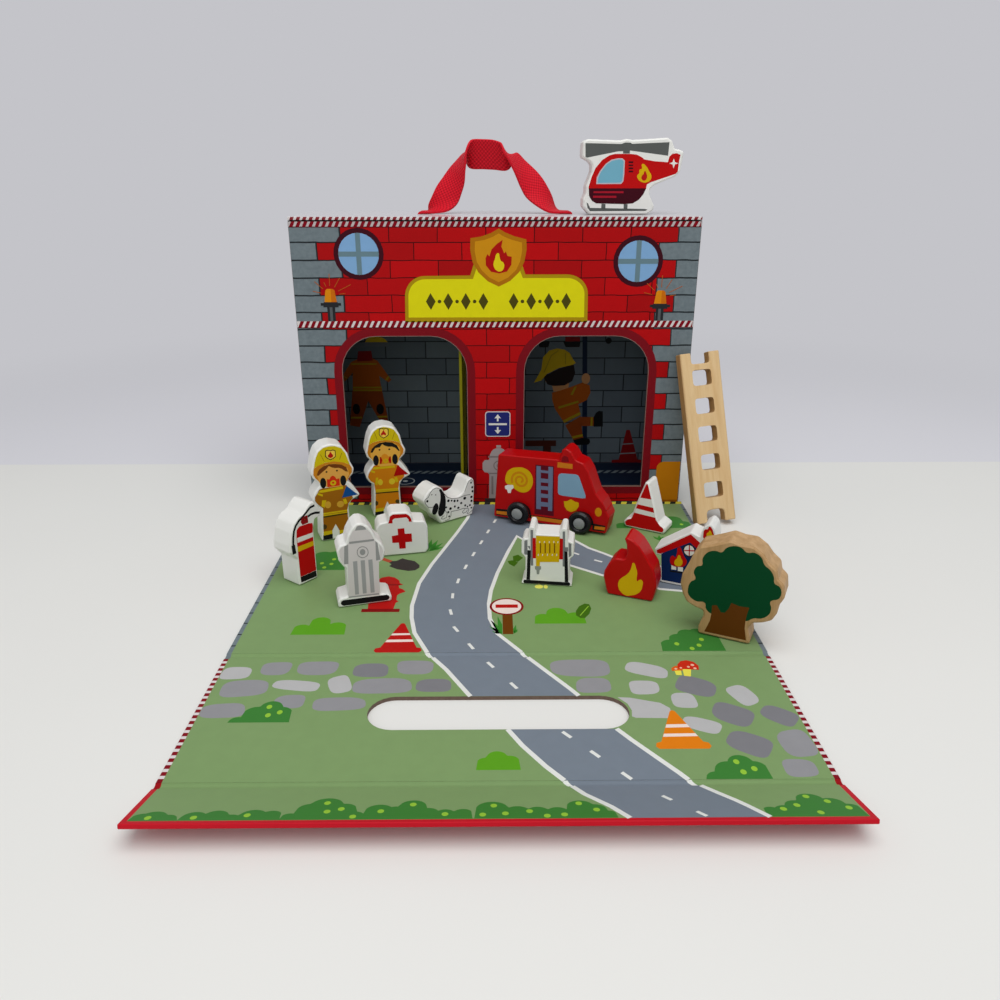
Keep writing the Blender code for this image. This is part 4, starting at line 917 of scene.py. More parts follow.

# %% [markdown]
# ## The paper folds
# Between the boards the paper alone bends. Lying open it dips into the gap between the two
# boards, which is the pale double line in the photograph. Each fold is a strip with its own
# cross-section, cut into columns so that the road and the hazard stripes carry on across it.

# %% A fold strip made from a grid
def fold_strip(name, top, bottom, columns, under_ink, replaced):
    """top and bottom are (y, z) from start to end in mm; columns are (x at start, x at end, ink)."""
    ring = list(top) + list(reversed(bottom))
    bpy.ops.mesh.primitive_grid_add(x_subdivisions=len(columns), y_subdivisions=len(ring), size=1)
    strip = bpy.context.object
    strip.name = name
    strip.data.name = name
    across = len(columns) + 1
    for n, vertex in enumerate(strip.data.vertices):
        row, column = divmod(n, across)
        y, z = ring[row % len(ring)]
        place = (top[0][0] - y) / (top[0][0] - top[-1][0])
        near, far = [c[:2] for c in columns][column] if column < len(columns) else (134.9, 134.9)
        vertex.co = ((near + (far - near) * place) / 1000, y / 1000, z / 1000)
    strip.location = (0, 0, 0)
    names = sorted({c[2] for c in columns} | {under_ink})
    for each in names:
        strip.data.materials.append(ink(each))
    for n, polygon in enumerate(strip.data.polygons):
        row, column = divmod(n, len(columns))
        polygon.material_index = names.index(columns[column][2] if row < len(top) - 1 else under_ink)
    bpy.ops.object.mode_set(mode="EDIT")
    bpy.ops.mesh.select_all(action="SELECT")
    bpy.ops.mesh.remove_doubles(threshold=0.000001)
    bpy.ops.mesh.select_all(action="DESELECT")
    bpy.ops.mesh.select_mode(type="EDGE")
    bpy.ops.mesh.select_non_manifold()
    bpy.ops.mesh.fill_holes(sides=0)
    bpy.ops.mesh.select_all(action="SELECT")
    bpy.ops.mesh.normals_make_consistent(inside=False)
    bpy.ops.object.mode_set(mode="OBJECT")
    strip.select_set(False)
    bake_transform(strip)
    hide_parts(replaced)
    print(name, "faces:", len(strip.data.polygons))
    return strip


hazard = []
for n in range(68):
    x = -134.9 + n * 3.967
    hazard.append((x, max(x - 1.6, -134.9) if n else x, "hazard_yellow" if n % 2 else "hazard_black"))
base_fold = fold_strip(
    "base_fold_paper", [(-44.05, 1.9), (-44.6, 1.2), (-45.6, 0.8), (-47.4, 0.8), (-48.3, 1.3), (-48.85, 1.95)],
    [(-44.05, 0.02), (-46.5, 0.02), (-48.85, 0.02)], hazard, "stone_grey",
    "base_hinge_strip")
mat_fold = fold_strip(
    "mat_fold_paper", [(-244.65, 1.98), (-245.2, 1.45), (-246.2, 1.15), (-247.8, 1.15), (-248.8, 1.45), (-249.35, 1.98)],
    [(-244.65, 0.02), (-247, 0.02), (-249.35, 0.02)],
    [(-134.9, -134.9, "stone_grey"), (-132.5, -132.5, "mat_green"), (-36.5, -33.2, "road_white"),
     (-34, -30.8, "road_grey"), (10.8, 13.8, "road_white"), (13, 16, "mat_green"), (132.5, 132.5, "stone_grey")],
    "hinge_red", "mat_hinge_strip")
flap_fold = fold_strip(
    "flap_fold_paper", [(-337.65, 1.98), (-338.2, 1.5), (-339, 1.3), (-340, 1.4), (-341, 1.8), (-341.72, 2.58)],
    [(-337.65, 0.02), (-340, 0.03), (-342.26, 0.74)],
    [(-134.9, -134.9, "hinge_red"), (-132.5, -132.5, "mat_green"), (24.6, 27.8, "road_white"),
     (26.9, 30.2, "road_grey"), (73.5, 76.6, "road_white"), (75.8, 79, "mat_green"), (132.5, 132.5, "hinge_red")],
    "hinge_red", "flap_hinge_strip")

# %% [markdown]
# ## The webbing handle
# Polypropylene webbing, 20 mm wide and 1.4 mm thick, woven in small diagonal rows. It comes up
# through two slits, stands in an arch and turns on edge at the top, as stiff webbing does. A
# flat grid is bent along the same route as the solid, then given its thickness, so that its
# own map follows the weave.

# %% The handle's route
# across and up as shares of the half span and the rise, then the way from the near edge to
# the far one, across and up: the strap leans inwards on its legs and lies on edge on top
half_span, rise = 0.0515, 0.038
strap_route = (
    (-0.906, 0.030, 0.00, 0.00), (-0.834, 0.045, -0.30, 0.06), (-0.751, 0.105, -0.70, 0.16),
    (-0.669, 0.230, -0.86, 0.22), (-0.607, 0.400, -0.84, 0.20), (-0.545, 0.560, -0.72, 0.16),
    (-0.494, 0.730, -0.52, 0.10), (-0.443, 0.860, -0.32, 0.08), (-0.396, 0.985, -0.10, 0.05),
    (-0.370, 1.035, -0.08, -0.20), (-0.345, 1.020, -0.14, -0.62), (-0.293, 0.990, -0.12, -0.88),
    (-0.154, 0.985, 0.00, -0.90), (-0.015, 0.975, 0.06, -0.90), (0.100, 0.950, 0.22, -0.86),
    (0.150, 0.965, 0.32, -0.62), (0.186, 0.980, 0.34, -0.10), (0.237, 0.945, 0.30, 0.22),
    (0.329, 0.780, 0.36, 0.36), (0.443, 0.575, 0.54, 0.48), (0.535, 0.405, 0.60, 0.50),
    (0.659, 0.220, 0.46, 0.36), (0.756, 0.080, 0.24, 0.16), (0.844, 0.035, 0.05, 0.03),
    (0.906, 0.030, 0.00, 0.00),
)


def smooth_route(stations, steps):
    found = []
    for n in range(len(stations) - 1):
        around = [stations[min(max(n + k, 0), len(stations) - 1)] for k in (-1, 0, 1, 2)]
        for step in range(steps):
            t = step / steps
            found.append([0.5 * (2 * b + (c - a) * t + (2 * a - 5 * b + 4 * c - d) * t ** 2
                                 + (3 * b - a - 3 * c + d) * t ** 3) for a, b, c, d in zip(*around)])
    return found + [list(stations[-1])]


lying, under, turn_radius = 0.199, 0.195, 0.0009
route = smooth_route([(x * half_span, max(0.198 + z * rise, lying), far_x, far_z)
                      for x, z, far_x, far_z in strap_route], 6)


def slit_turns(side):
    """The run under the roof, up through the slit and over onto the roof."""
    points = [(side * (half_span - 0.015), under), (side * (half_span - 0.008), under)]
    for n in range(5):
        angle = math.pi / 2 * n / 4
        points.append((side * (half_span - turn_radius * (1 - math.sin(angle))),
                       under + turn_radius * (1 - math.cos(angle))))
    for n in range(5):
        angle = math.pi / 2 * n / 4
        points.append((side * (half_span - turn_radius * (1 - math.cos(angle))),
                       lying - turn_radius * (1 - math.sin(angle))))
    return [[x, z, 0.0, 0.0] for x, z in points]


path = slit_turns(-1) + route + slit_turns(1)[::-1]
print("route points:", len(path))

# %% The webbing material and the strap
def webbing():
    """Woven polypropylene: crossed floats, drawn at 1.2 by 1.4 mm, a fifth over the real
    weave, so that they can still be seen from where the photograph was taken."""
    material = bpy.data.materials.new("woven_polypropylene_webbing_red")
    material.use_nodes = True
    tree = material.node_tree
    shader = tree.nodes["Principled BSDF"]
    own = add_node(tree, "UVMap", uv_map="weave").outputs["UV"]
    spot = add_node(tree, "SeparateXYZ", {0: own})
    along = add_node(tree, "Math", {0: spot.outputs["X"], 1: math.pi / 0.0012}, operation="MULTIPLY").outputs[0]
    across = add_node(tree, "Math", {0: spot.outputs["Y"], 1: math.pi / 0.0014}, operation="MULTIPLY").outputs[0]
    warp = add_node(tree, "Math", {0: along}, operation="SINE").outputs[0]
    weft = add_node(tree, "Math", {0: across}, operation="SINE").outputs[0]
    crossed = add_node(tree, "Math", {0: warp, 1: weft}, operation="MULTIPLY").outputs[0]
    strand = add_node(tree, "TexNoise", {"Vector": own, "Scale": 1500.0, "Detail": 2.0})
    height = add_node(tree, "Math", {0: strand.outputs["Fac"], 1: 0.5, 2: crossed}, operation="MULTIPLY_ADD").outputs[0]
    # The colour runs from dark red in the weave's hollows to bright red on its crowns: painted shade and highlight that
    # follow the relief.
    shade = add_node(tree, "MapRange", {"Value": height, "From Min": -0.6, "From Max": 1.1})
    tone = add_node(tree, "Mix", {0: shade.outputs["Result"], 6: colour("#A8061A"),
                                  7: colour("#E2182C")}, data_type="RGBA")
    tree.links.new(tone.outputs[2], shader.inputs["Base Color"])
    bump = add_node(tree, "Bump", {"Height": shade.outputs["Result"], "Strength": 0.4, "Distance": 0.0003})
    tree.links.new(bump.outputs["Normal"], shader.inputs["Normal"])
    shader.inputs["Roughness"].default_value = 0.6
    shader.inputs["Specular IOR Level"].default_value = 0.15
    return material


strap_cells = 10
bpy.ops.mesh.primitive_grid_add(x_subdivisions=strap_cells, y_subdivisions=len(path) - 1, size=1)
strap = bpy.context.object
strap.name = "webbing_handle"
strap.data.name = "webbing_handle"
lengths = [0.0]
for a, b in zip(path, path[1:]):
    lengths.append(lengths[-1] + math.dist(a[:2], b[:2]))
weave_place = {}
for n, vertex in enumerate(strap.data.vertices):
    row, column = divmod(n, strap_cells + 1)
    x, z, far_x, far_z = path[row]
    across = Vector((far_x, math.sqrt(1 - far_x ** 2 - far_z ** 2), far_z))
    side = (column / strap_cells - 0.5) * 0.0200
    vertex.co = Vector((x, 0, z)) + across * side
    weave_place[n] = (lengths[row], side + 0.01)
weave = strap.data.uv_layers.active
weave.name = "weave"
for loop in strap.data.loops:
    weave.data[loop.index].uv = weave_place[loop.vertex_index]
strap.location = (0, 0, 0)
strap.data.materials.append(webbing())
thick = strap.modifiers.new("thickness", "SOLIDIFY")
thick.thickness = 0.0013
thick.offset = 0
thick.use_even_offset = True
bpy.ops.object.modifier_apply(modifier="thickness")
edge = strap.modifiers.new("selvedge", "BEVEL")
edge.width = 0.0004
edge.segments = 2
edge.limit_method = "ANGLE"
edge.angle_limit = math.radians(60)
bpy.ops.object.modifier_apply(modifier="selvedge")
bpy.ops.object.shade_smooth_by_angle(angle=math.radians(50))
strap.select_set(False)
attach(strap, "roof")
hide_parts("handle_strap")
print("strap length mm:", round(lengths[-1] * 1000, 1))

# %% [markdown]
# ## Painted wood
# The loose blocks are sawn from soft wood and sprayed with two coats of acrylic paint, so the
# rims stay round and the faces have a fine orange-peel. The tree and the ladder are left
# natural, with their grain.

# %% Paint and wood materials
def sprayed_wood(name, code, roughness=0.38, reflect=0.3):
    material, tree, shader, place = new_material(name)
    cloud = add_node(tree, "TexNoise", {"Vector": place, "Scale": 90.0, "Detail": 3.0})
    shade = add_node(tree, "MapRange", {"Value": cloud.outputs["Fac"], "To Min": 0.95, "To Max": 1.03})
    tone = add_node(tree, "HueSaturation", {"Color": colour(code), "Value": shade.outputs["Result"]})
    tree.links.new(tone.outputs["Color"], shader.inputs["Base Color"])
    gloss = add_node(tree, "MapRange", {"Value": cloud.outputs["Fac"], "To Min": roughness - 0.05,
                                        "To Max": roughness + 0.08})
    tree.links.new(gloss.outputs["Result"], shader.inputs["Roughness"])
    shader.inputs["Specular IOR Level"].default_value = reflect
    peel = add_node(tree, "TexNoise", {"Vector": place, "Scale": 900.0, "Detail": 2.0})
    bump = add_node(tree, "Bump", {"Height": peel.outputs["Fac"], "Strength": 0.15, "Distance": 0.0002})
    tree.links.new(bump.outputs["Normal"], shader.inputs["Normal"])
    return material


def bare_wood(name, face, side, dark, turn, outward, grain_scale=260.0):
    """Sawn timber: noise drawn out along the grain, and another colour on the faces that look aside, where the saw cut.

    turn brings the piece's own length to Z, and outward is the way that its faces look."""
    material, tree, shader, place = new_material(name)
    laid = add_node(tree, "Mapping", {"Vector": place, "Rotation": turn})
    drawn = add_node(tree, "VectorMath", {0: laid.outputs[0], 1: (1.0, 1.0, 0.07)}, operation="MULTIPLY")
    grain = add_node(tree, "TexNoise", {"Vector": drawn.outputs[0], "Scale": grain_scale, "Detail": 5.0,
                                        "Distortion": 0.6})
    pores = add_node(tree, "TexNoise", {"Vector": drawn.outputs[0], "Scale": 2600.0, "Detail": 2.0})
    both = add_node(tree, "Math", {0: pores.outputs["Fac"], 1: 0.35, 2: grain.outputs["Fac"]},
                    operation="MULTIPLY_ADD")
    looks = add_node(tree, "NewGeometry").outputs["True Normal"]
    facing = add_node(tree, "VectorMath", {0: looks, 1: outward}, operation="DOT_PRODUCT").outputs["Value"]
    facing = add_node(tree, "Math", {0: facing}, operation="ABSOLUTE").outputs[0]
    # Faces that look aside take the side colour; on the ladder that darker colour is painted shade.
    sawn = add_node(tree, "MapRange", {"Value": facing, "From Min": 0.2, "From Max": 0.8})
    light = add_node(tree, "Mix", {0: sawn.outputs["Result"], 6: colour(side), 7: colour(face)}, data_type="RGBA")
    shade = add_node(tree, "MapRange", {"Value": both.outputs[0], "From Min": 0.45, "From Max": 0.95,
                                        "To Max": 0.75})
    tone = add_node(tree, "Mix", {0: shade.outputs["Result"], 6: light.outputs[2], 7: colour(dark)},
                    data_type="RGBA")
    tree.links.new(tone.outputs[2], shader.inputs["Base Color"])
    bump = add_node(tree, "Bump", {"Height": both.outputs[0], "Strength": 0.2, "Distance": 0.0002})
    tree.links.new(bump.outputs["Normal"], shader.inputs["Normal"])
    shader.inputs["Roughness"].default_value = 0.55
    shader.inputs["Specular IOR Level"].default_value = 0.3
    return material


white_paint = sprayed_wood("sprayed_wood_white", "#E4E4DF")
red_paint = sprayed_wood("sprayed_wood_red", "#B20508", 0.34, 0.18)
black_paint = sprayed_wood("sprayed_wood_black", "#141416", 0.26)
grey_paint = sprayed_wood("sprayed_wood_hub_grey", "#8A8D8C", 0.32)
for name in ("firefighter_left_block", "firefighter_right_block", "extinguisher_block", "hydrant_block",
             "first_aid_block", "dog_block", "hose_reel_block", "traffic_cone_block", "burning_house_block",
             "helicopter_block"):
    cover(name, white_paint)
cover("flame_block", red_paint)
cover("engine_body", red_paint)
for name in nodes:
    if "wheel" in name:
        cover(name, black_paint)
    elif "axle" in name:
        cover(name, grey_paint)
    elif name.startswith("back_magnet"):
        cover(name, bpy.data.materials["brick_print_back"])
    elif "flap_magnet" in name:
        cover(name, bpy.data.materials["laminated_paper_flap_red"])
tree_turn = math.radians(-26)
cover("tree_block", bare_wood("sawn_basswood_tree", "#B89468", "#C6A276", "#94703F",
                              (0, 0, -tree_turn), (math.sin(tree_turn), -math.cos(tree_turn), 0)))
ladder_lean, ladder_roll, ladder_yaw = (math.radians(angle) for angle in (18, 3.5, 12))
ladder_turn = Matrix.Rotation(ladder_yaw, 3, "Z") @ Matrix.Rotation(-ladder_roll, 3, "Y") @ Matrix.Rotation(
    -ladder_lean, 3, "X")
# The ladder's sides get a darker brown than its face: painted shade on its sides.
cover("ladder", bare_wood("sawn_beech_ladder", "#D9BC8E", "#A98352", "#C49C66",
                          ladder_turn.inverted().to_euler(), ladder_turn @ Vector((0, 1, 0))))
for thing in nodes.values():
    print(thing.name, len(thing.material_slots), thing.material_slots[0].material.name)

# %% [markdown]
# ## The painted fronts of the blocks
# Each block is sprayed white and its picture is screen-printed on, in flat, opaque paints that
# stop about 1.5 mm short of the sawn edge. The prints are drawn as the paper's are, in
# millimetres from the middle of the block's foot, and laid on both faces. The back one is the
# same drawing seen through the block, so that it fits the sawn outline.

# %% Paints and a helper that prints a block on both faces
toy_paints = {
    "band_light": "#EBC54A", "band_yellow": "#CDB010", "belly_maroon": "#3A0212", "belly_stripe": "#9E1226",
    "belt_dark": "#3F3A10", "boot_black": "#141416", "coat_brown": "#9A600E", "coat_orange": "#CB7A0E",
    "crown_green": "#003F20", "ear_black": "#0C0D10", "face_peach": "#DCA04A", "face_tan": "#E0A843",
    "flag_blue": "#0F4A8C", "flag_red": "#A80806", "flame_red": "#B0170F", "glove_tan": "#CC9C30",
    "glove_yellow": "#D8BC28", "hair_black": "#1B1A14", "hair_brown": "#6E3A12", "helmet_shade": "#C67E1C",
    "helmet_yellow": "#CCB60C", "hose_orange": "#C8820C", "hose_shade": "#7E5606", "hose_yellow": "#CFA806",
    "hydrant_dark": "#939392", "hydrant_grey": "#CFC9C8", "hydrant_line": "#8F8E8C", "hydrant_stripe": "#9C9D9D",
    "knee_dark": "#4A3B1C", "ladder_grey": "#69748F", "lamp_base": "#C9771A", "lamp_orange": "#D08A0E",
    "lamp_red": "#7E0A14", "line_brown": "#8B6D10", "line_dark": "#2A2214", "line_grey": "#6C6E6A",
    "mask_orange": "#D9891F", "mask_red": "#CE3010", "nozzle_grey": "#8A8F88", "paint_red": "#B80709",
    "paint_red_dark": "#8C0A12", "paint_white": "#E2E2DC", "paint_yellow": "#D2AA08", "panel_maroon": "#5C0A1C",
    "rotor_grey": "#575A58", "trunk_brown": "#5C3208", "wall_navy": "#082456", "window_edge": "#B9B4BC",
    "window_paint": "#7FA3BC", "window_sky": "#6FA9BE",
    "frame_grey": "#77797A",
}
toy_materials = {}


def paint(name, *loops, layer=1, rounded=False):
    """Draw with a paint on wood in place of an ink on paper."""
    if name not in toy_materials:
        toy_materials[name] = sprayed_wood("screen_print_on_wood_" + name, toy_paints[name], 0.5, 0.1)
    draw(name, *loops, layer=layer, rounded=rounded, made_of=toy_materials[name])


def on_mat(across, out, turn):
    """A block's foot on the long panel, from the shares that the solids use."""
    return Vector((across * 0.270, -0.0465 - out * 0.2005, 0.0023)), math.radians(turn)


def print_block(name, place, body):
    """Lay the drawing on a block's front and, seen through it, on its back."""
    foot, turn = place
    right, up = Vector((math.cos(turn), math.sin(turn), 0)), Vector((0, 0, 1))
    front = right.cross(up)
    piece = lay_print(name, face_plane(foot + front * 0.0075, right, up), body)
    bpy.ops.object.select_all(action="DESELECT")
    piece.select_set(True)
    bpy.context.view_layer.objects.active = piece
    bpy.ops.object.duplicate()
    through = Matrix.Identity(3) - 2 * Matrix([front * part for part in front])
    middle = Matrix.Translation(foot)
    bpy.context.object.data.transform(middle @ through.to_4x4() @ middle.inverted())
    piece.select_set(True)
    bpy.context.view_layer.objects.active = piece
    bpy.ops.object.join()
    bpy.ops.object.mode_set(mode="EDIT")
    bpy.ops.mesh.select_all(action="SELECT")
    bpy.ops.mesh.normals_make_consistent(inside=False)
    bpy.ops.object.mode_set(mode="OBJECT")
    piece.select_set(False)
    return piece


print("paints:", len(toy_paints))

# %% The left firefighter
paint("coat_brown", [(-10.6, 35.6), (-8.6, 36.3), (4.6, 36.4), (7, 36.4), (8.7, 31.5), (10.6, 27.2), (7.4, 23.7),
      (6.3, 19.3), (6.4, 16.2), (6.6, 5.9), (0.2, 5.8), (-1.9, 10.7), (-4.3, 6.7), (-10.1, 6.5), (-9.5, 16.6),
      (-9.1, 22.7), (-12.2, 25.9), (-13.8, 28.5), (-13.5, 31.1), (-12, 33.2)], layer=1)
paint("boot_black", [(-10.4, 4.2), (-4.4, 4.4), (-4.4, 0.7), (-10.8, 0.7)], [(0.1, 3.7), (6.6, 3.7), (6.8, 0.7),
      (-0.1, 0.7)], layer=1)
paint("band_yellow", [(-10.1, 35.1), (4.6, 35.9), (4.6, 34.2), (-8.4, 33.4), (-11.2, 33.9)], [(-11.6, 33.8),
      (-8.5, 32.1), (-8.7, 30.8), (-12, 32.5)], [(-9.3, 19.5), (6.3, 19.5), (6.4, 18.4), (-9.3, 18.4)],
      [(-9.4, 18.1), (6.4, 18), (6.4, 17.4), (-9.4, 17.3)], [(-10.1, 6.5), (-4.3, 6.7), (-4.4, 4.2), (-10.3, 3.8)],
      [(0.2, 5.8), (6.6, 5.9), (6.4, 3.4), (0.1, 3.4)], [(-9.3, 28.2), (-6.6, 28), (-8, 23), (-10, 24.3)],
      [(3.9, 26.9), (5.9, 27.2), (6.8, 23.9), (4.9, 23.3)], layer=2)
paint("belt_dark", [(-9.4, 17.2), (6.4, 17.1), (6.4, 16.4), (-9.5, 16.2)], layer=2)
paint("knee_dark", [(-7.6, 9.6), (-7.9, 8.8), (-8.4, 8.3), (-9, 8), (-9.7, 8.1), (-10, 8.5), (-10, 9.1), (-9.9, 10),
      (-9.9, 10.7), (-9.8, 11.4), (-9.4, 11.7), (-8.7, 11.5), (-8.1, 11.1), (-7.7, 10.4)], layer=2)
paint("glove_tan", disc(-5.8, 24.7, 2, 2.4), disc(2.2, 23.9, 2.3, 2.2), layer=3)
paint("flag_blue", [(6.8, 35.9), (13.8, 28.9), (3.5, 28.1)], layer=3)
paint("face_peach", [(-11.7, 44), (-10.4, 49.4), (-5.6, 52.3), (-0.1, 52.6), (5.2, 51.3), (9.2, 48.4), (10, 43.2),
      (7.9, 40), (5.2, 36.1), (-3.4, 36.1), (-8.6, 37.9), (-10.6, 41.7)], layer=2)
paint("hair_brown", [(-11.2, 45.4), (-10.3, 47.9), (-8.9, 49.7), (-6.4, 51), (-3.2, 51.7), (-0.1, 51.6), (4.7, 50.5),
      (7.5, 48.6), (8.6, 45.3), (6.9, 45.7), (4.7, 47.7), (2.8, 48.6), (0.4, 48.8), (-1.3, 49.3), (-3.3, 50.6),
      (-4.9, 49), (-7.7, 47), (-10.3, 45)], layer=3)
paint("helmet_shade", [(-12.7, 50.1), (-9.7, 51.8), (-5.3, 52.9), (0, 53.3), (5.8, 51.9), (10, 49.7), (11.2, 47.2),
      (11, 44.6), (9.5, 42.7), (7.2, 40.2), (9.1, 43.2), (8.5, 47.4), (4.9, 50.4), (-0.1, 51.8), (-5.4, 51.7),
      (-9.4, 49), (-11, 45), (-10.2, 41.3), (-12.3, 43.6), (-13.3, 45.8), (-13.1, 48.2)], layer=3)
paint("helmet_yellow", [(-12.6, 50.3), (-11.8, 53.9), (-10.9, 57), (-9.1, 60.5), (-6, 62.8), (-2.6, 63.4),
      (1.3, 63.2), (5.3, 61.3), (7.6, 57.8), (8.7, 54.3), (10, 49.8), (5.8, 51.9), (0, 53.3), (-5.3, 53),
      (-9.7, 51.8)], layer=3)
paint("line_brown", [(-8, 58.8), (-6, 53.8), (-5.7, 53.9), (-7.7, 58.9)], [(5.3, 58.3), (3.6, 54.1), (3.9, 53.9),
      (5.6, 58.1)], layer=4)
paint("line_dark", [(-4.8, 61), (-3.2, 61.4), (-1.6, 60.8), (0.1, 61.1), (1.7, 60.3), (1.6, 56.3), (0.2, 55.2),
      (-1.9, 54.3), (-3.9, 55.6), (-5.2, 57.2)], layer=4)
paint("band_light", [(-4.3, 60.5), (-3.1, 60.8), (-1.6, 60.3), (0.1, 60.5), (1.2, 59.9), (1.2, 56.6), (-0.2, 55.6),
      (-1.9, 54.9), (-3.6, 56), (-4.6, 57.5)], layer=5)
paint("flame_red", [(-1.6, 60.1), (-0.9, 58.6), (0, 57.5), (-0.3, 56.3), (-1.7, 55.7), (-3.2, 56.5), (-3.4, 57.6),
      (-2.5, 58.5)], layer=6)
paint("line_dark", disc(-5, 46.9, 0.6, 0.6), disc(1.6, 46.9, 0.6, 0.6), layer=3)
paint("mask_red", [(-1.2, 44), (-2.7, 43.3), (-3.6, 41.7), (-5.2, 42), (-5.2, 36.7), (2.7, 36.7), (2.8, 41.6),
      (0.8, 41.3), (0.1, 42.9)], layer=3)
paint("band_yellow", disc(-1.4, 39, 1.9, 1.8), layer=4)
paint("mask_red", disc(-1.4, 39.2, 0.8, 0.7), layer=5)
paint("boot_black", disc(-7.7, 39.8, 1.9, 3.5), disc(5.1, 39.7, 1.9, 3.5), layer=4)
print_block("firefighter_left_print", on_mat(-0.389, 0.27, 22), "firefighter_left")

# %% The right firefighter
paint("coat_orange", [(-9.5, 37.1), (-7.5, 37.3), (5.2, 36.9), (7.5, 35.8), (9.2, 31.5), (11.1, 27.6), (7.2, 24),
      (6.4, 18.9), (6.5, 14), (6.7, 7.5), (-0.4, 7.4), (-1.8, 10.2), (-4.3, 4.5), (-10.3, 4.1), (-9.4, 17),
      (-10, 24.5), (-12.4, 26.2), (-14, 29.3), (-13.3, 31.8), (-11.5, 34.4)], layer=1)
paint("boot_black", [(-10.4, 3.8), (-4.6, 4), (-4.5, 0.7), (-10.8, 0.7)], [(-0.4, 5.2), (6.8, 5.4), (6.9, 0.7),
      (-0.3, 0.7)], layer=1)
paint("band_yellow", [(-9.9, 36), (4.7, 35.9), (4.8, 34.5), (-9.1, 34.4), (-10.8, 34.6)], [(-11.6, 34.2),
      (-8.9, 32.9), (-9.3, 31.7), (-12, 33)], [(-9.3, 19.7), (6.3, 19.4), (6.4, 18.3), (-9.3, 18.5)], [(-9.4, 18.2),
      (6.4, 18), (6.4, 17.4), (-9.4, 17.6)], [(-10.2, 5.5), (-4.4, 5.9), (-4.5, 3.5), (-10.4, 3.1)], [(-0.4, 7.4),
      (6.7, 7.4), (6.8, 5.1), (-0.4, 4.9)], [(-8.6, 28.3), (-7, 28.4), (-7.9, 22.8), (-9.4, 23.5)], [(3.9, 27.3),
      (5.7, 27.6), (6.5, 24.1), (4.7, 23.5)], layer=2)
paint("belt_dark", [(-9.4, 17.4), (6.4, 17.3), (6.4, 16.3), (-9.5, 16.6)], layer=2)
paint("knee_dark", [(-8, 9.5), (-8.2, 8.7), (-8.7, 8.1), (-9.3, 7.8), (-10, 7.8), (-10, 8.2), (-10, 8.9),
      (-9.9, 9.7), (-9.9, 10.5), (-9.8, 11.1), (-9.7, 11.5), (-9.1, 11.4), (-8.5, 11), (-8.1, 10.3)], [(6.6, 9.2),
      (6.7, 8.6), (6.3, 8.1), (5.6, 7.8), (5, 7.9), (4.4, 8.3), (4, 8.9), (3.8, 9.6), (4, 10.2), (4.5, 10.7),
      (5.1, 11), (5.8, 10.9), (6.4, 10.5), (6.6, 9.9)], layer=2)
paint("glove_yellow", disc(-5.8, 24.8, 1.7, 2.2), disc(2.2, 24.6, 2.1, 2.2), layer=3)
paint("flag_red", [(6.6, 36.1), (13.8, 28.9), (3.5, 28.3)], layer=3)
paint("face_tan", [(-11.9, 45.1), (-11, 49.6), (-7, 53.2), (-1.7, 53.9), (4, 53.1), (8.6, 50), (9.8, 45), (8.2, 41.4),
      (6.9, 38), (5.4, 36.2), (-5.4, 36.2), (-8.6, 38.3), (-10.8, 42.1)], layer=2)
paint("hair_black", [(-11.3, 46.6), (-10.3, 49.1), (-8.1, 51.3), (-4.9, 52.9), (-0.8, 53.3), (3.7, 52.5),
      (6.8, 50.2), (8.6, 46.2), (7.5, 46.3), (5.8, 48.5), (3.6, 49.6), (0.8, 49.8), (-1.4, 50.7), (-3.2, 52),
      (-4.8, 49.8), (-7.8, 49.6), (-10, 46.4)], layer=3)
paint("helmet_shade", [(-12.3, 51.9), (-9.4, 53.5), (-4.8, 54.4), (-0.7, 54.5), (4.2, 53.7), (8.5, 52.1),
      (10.1, 49.5), (11.2, 47.1), (10.9, 44.4), (9.1, 42.3), (7.3, 40.3), (9, 44.7), (8.5, 48.7), (5.5, 51.8),
      (1, 53.3), (-3.5, 53.4), (-7.6, 52), (-10.5, 48.9), (-11.5, 45.1), (-10.6, 41.8), (-12.6, 43.9), (-13.4, 46.7),
      (-12.9, 48.9)], layer=3)
paint("helmet_yellow", [(-12.2, 52.1), (-11.6, 54.5), (-10.4, 58.1), (-8.1, 61.3), (-5.3, 63.2), (-1.6, 63.8),
      (2.2, 62.9), (5.3, 61.3), (7.7, 57.5), (8.9, 53.5), (9.6, 50.7), (8.5, 52.2), (4.2, 53.8), (-0.7, 54.5),
      (-4.8, 54.5), (-9.3, 53.6)], layer=3)
paint("line_brown", [(-8.2, 61), (-6.5, 55.6), (-6.2, 55.7), (-7.9, 61.1)], [(5.5, 59.7), (3.7, 54.9), (4, 54.8),
      (5.8, 59.6)], layer=4)
paint("line_dark", [(-4.7, 62.9), (-3.2, 63.3), (-1.6, 62.7), (0.2, 63), (1.7, 62.3), (1.6, 58.1), (0.2, 56.9),
      (-1.9, 55.8), (-3.9, 57.2), (-5, 58.8)], layer=4)
paint("band_light", [(-4.2, 62.3), (-3.1, 62.7), (-1.6, 62.1), (0, 62.5), (1.1, 61.9), (1.1, 58.4), (-0.1, 57.4),
      (-1.9, 56.4), (-3.6, 57.6), (-4.5, 59)], layer=5)
paint("flame_red", [(-1.7, 61.9), (-0.9, 60.1), (-0.1, 59), (-0.3, 57.8), (-1.8, 58.6), (-3.4, 57.9), (-3.6, 59.3),
      (-2.6, 60.5)], layer=6)
paint("line_dark", disc(-5.1, 48.1, 0.6, 0.6), disc(1.5, 47.9, 0.7, 0.6), layer=3)
paint("mask_orange", [(-1.9, 45.1), (-3.4, 44.4), (-4.3, 42.9), (-5.3, 43), (-5.5, 37.9), (2.5, 37.9), (2.3, 42.8),
      (0.5, 43), (-0.3, 44.3)], layer=3)
